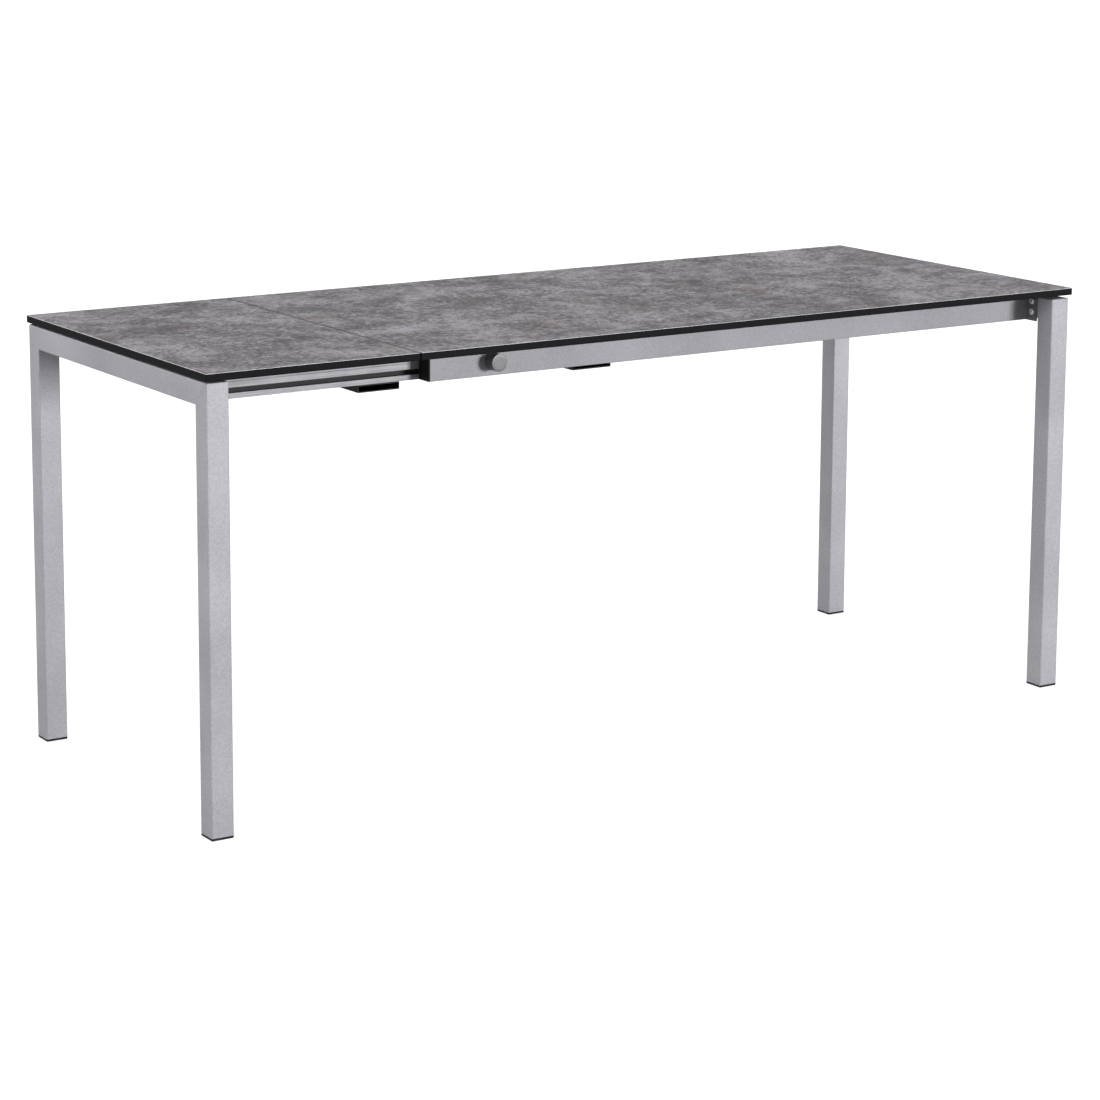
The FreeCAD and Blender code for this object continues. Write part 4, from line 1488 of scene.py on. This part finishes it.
@dataclass
class Fasteners:
    """The flange screws and the rubber pads."""

    copies: CopyTree
    head_high: float = 3.5 * MM
    head: float = 6 * MM
    screw_radius: float = 3 * MM
    pad_wide: float = 20 * MM
    pad_long: float = 60 * MM
    pad_corner: float = 3 * MM

    def make(self) -> None:
        """Makes the flange screws and the pads."""
        main_nodes = ("front_flange_screws", "back_flange_screws")
        self._flange_screws(main_nodes[0], main_nodes, "main_frame")
        self._flange_screws("slide_flange_screws", ("slide_flange_screws",), "carriage")
        self._pads("main_rail_pads", "main_frame", per_side=3)
        self._pads("slide_rail_pads", "carriage", per_side=2)
        self._pads("left_crossbar_pads", "carriage", per_side=1)
        self._pads("right_crossbar_pads", "main_frame", per_side=1)

    def _flange_screws(self, name: str, nodes: Sequence[str], body: str) -> None:
        """Puts two screws in each of two flanges.

        Args:
            name: The node that gives the screws' place.
            nodes: The CAD nodes that they stand for.
            body: The body that they ride on.
        """
        low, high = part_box(name)
        towards = 1 if low.x > 0 else -1
        shank = high.x - low.x - self.head_high
        screw = ButtonScrew(self.screw_radius, shank, self.head, self.head_high, Along.X, towards)
        under_head = low.x + self.head_high if towards > 0 else high.x - self.head_high
        row = low.y + self.head
        first = (under_head, row, low.z + self.head)
        up = (2, (0.0, 0.0, high.z - low.z - 2 * self.head))
        across = (2, (0.0, -2 * row, 0.0))
        spin = ((1.0, 0.0, 0.0), math.pi)
        made = self.copies.spread(f"{name}_domed", screw.seed(BRIGHT), first, up, across, spin)
        settle(made, body, BRIGHT.slot, *nodes)

    def _pads(self, node: str, body: str, per_side: int) -> None:
        """Puts a row of rubber pads along each side.

        Args:
            node: The pads' CAD node.
            body: The body that they ride on.
            per_side: How many pads each side has.
        """
        low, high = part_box(node)
        long_first = (self.pad_long, self.pad_wide)
        flat = reversed(long_first) if "crossbar" in node else long_first
        size = Vector((*flat, high.z - low.z))
        half = size / 2
        seed = piece("pad_seed", [block(-half, half, Along.Z, self.pad_corner, 0.5 * MM)], RUBBER)
        step = (high.x - low.x - size.x) / max(per_side - 1, 1)
        row = (per_side, (step, 0.0, 0.0))
        across = (2, (0.0, high.y - low.y - size.y, 0.0))
        made = self.copies.spread(f"{node}_rubber", seed, low + half, row, across)
        settle(made, body, RUBBER.slot, node)


def dress_kept_nodes() -> None:
    """Gives the CAD nodes that stay their finishes."""
    finishes = {
        PLASTIC: ("front_glides", "back_glides", "slide_rail_end_caps"),
        ZINC: ("stop_blocks", "left_rivet_nuts", "right_rivet_nuts", "front_lock_nut", "back_lock_nut"),
        BRIGHT: ("main_top_screws",),
    }
    for finish, nodes in finishes.items():
        for node in nodes:
            kept = frame["nodes"][node]
            kept.data.materials.clear()
            kept.data.materials.append(finish.material())
            log.info("%s stays, in %s", node, finish.name)


# The studio.


def direction(azimuth: float, elevation: float) -> Vector:
    """Points from the table towards a place around it.

    Args:
        azimuth: From the front towards the right, in degrees.
        elevation: Above the floor, in degrees.

    Returns:
        The direction, of length 1.
    """
    turn, rise = math.radians(azimuth), math.radians(elevation)
    level = math.cos(rise)
    return Vector((level * math.sin(turn), -level * math.cos(turn), math.sin(rise)))


@dataclass(frozen=True)
class PaleFloor(Finish):
    """Matt floor that glows white only for the camera."""

    name: str = "floor"
    grey: Colour = (0.35, 0.35, 0.35)
    glow: float = 0.8

    def surface(self, graph: SurfaceGraph) -> dict[str, object]:
        """Gives the floor its grey and its glow.

        Args:
            graph: The material's tree.

        Returns:
            The shader's inputs.
        """
        return {
            "Base Color": (*self.grey, 1.0),
            "Emission Color": graph.node("ShaderNodeLightPath").outputs["Is Camera Ray"],
            "Emission Strength": self.glow,
            "Roughness": 0.9,
        }


@dataclass
class Studio:
    """A pale floor, soft lights and the camera."""

    floor_radius: float = 60.0
    sky: float = 0.22
    eye: tuple[float, float, float] = (-3.0699, -4.7117, 1.6198)
    heading: float = 31.878
    fall: float = 9.541
    roll: float = 0.140
    lens: float = 102.83
    shift: Point = (0.0455, -0.1818)

    def make(self) -> None:
        """Sets up the floor, the sky, the lights and the camera."""
        self._floor()
        self._sky()
        self._light("key", azimuth=30.0, elevation=4.0, power=2.9, spread=14.0)
        self._light("left", azimuth=-80.0, elevation=6.0, power=2.9, spread=40.0)
        self._light("back", azimuth=205.0, elevation=8.0, power=1.4, spread=60.0)
        self._light("overhead", azimuth=0.0, elevation=85.0, power=1.8, spread=90.0)
        self._camera()

    def _floor(self) -> None:
        """Makes the floor."""
        data = bpy.data.meshes.new("floor")
        built = bmesh.new()
        bmesh.ops.create_circle(built, cap_ends=True, segments=96, radius=self.floor_radius)
        built.to_mesh(data)
        built.free()
        data.materials.append(PaleFloor().material())
        floor = bpy.data.objects.new("floor", data)
        bpy.context.scene.collection.objects.link(floor)
        floor.location.z = -0.2 * MM

    def _sky(self) -> None:
        """Makes the even light all round, seen as white behind the table."""
        scene = bpy.context.scene
        scene.view_settings.view_transform = "Standard"
        scene.world = bpy.data.worlds.new("studio")
        scene.world.use_nodes = True
        graph = Graph(scene.world.node_tree)
        seen = Number(graph, graph.node("ShaderNodeLightPath").outputs["Is Camera Ray"])
        strength = seen * (1.0 - self.sky) + self.sky
        white = {"Color": (1.0, 1.0, 1.0, 1.0), "Strength": strength}
        glow = graph.node("ShaderNodeBackground", white)
        graph.node("ShaderNodeOutputWorld", {"Surface": glow.outputs[0]})

    def _light(self, name: str, azimuth: float, elevation: float, power: float, spread: float) -> None:
        """Hangs a wide soft light far away.

        Args:
            name: The light's name.
            azimuth: Where it hangs, from the front towards the right, in degrees.
            elevation: How high it hangs, in degrees.
            power: Its power, in watts per square metre.
            spread: How wide it looks from the table, in degrees.
        """
        data = bpy.data.lights.new(name, "SUN")
        data.energy = power
        data.angle = math.radians(spread)
        light = bpy.data.objects.new(name, data)
        place = direction(azimuth, elevation)
        light.location = 5.0 * place
        light.rotation_euler = (-place).to_track_quat("-Z", "Y").to_euler()
        bpy.context.scene.collection.objects.link(light)

    def _camera(self) -> None:
        """Sets the camera."""
        data = bpy.data.cameras.new("camera")
        data.lens = self.lens
        data.sensor_width = 36.0
        data.shift_x, data.shift_y = self.shift
        camera = bpy.data.objects.new("camera", data)
        camera.location = self.eye
        level = (-direction(-self.heading, self.fall)).to_track_quat("-Z", "Y")
        tilt = Quaternion((0.0, 0.0, 1.0), math.radians(self.roll))
        camera.rotation_euler = (level @ tilt).to_euler()
        bpy.context.scene.collection.objects.link(camera)
        bpy.context.scene.camera = camera


def main() -> None:
    """Makes the table and its studio."""
    logging.basicConfig(level=logging.INFO, format="%(message)s")
    Studio().make()
    copies = CopyTree()
    tubes = TubeTree()
    Board("main_top", "main_frame").make()
    Board("extension_leaf", "leaf").make()
    LegFrame("left", "carriage").make()
    LegFrame("right", "main_frame").make()
    for side in Side:
        MainRail(side, tubes).make()
        SlideRail(side).make()
        Lock(side).make()
    Cradle(copies).make()
    Fasteners(copies).make()
    dress_kept_nodes()


if __name__ == "__main__":
    main()
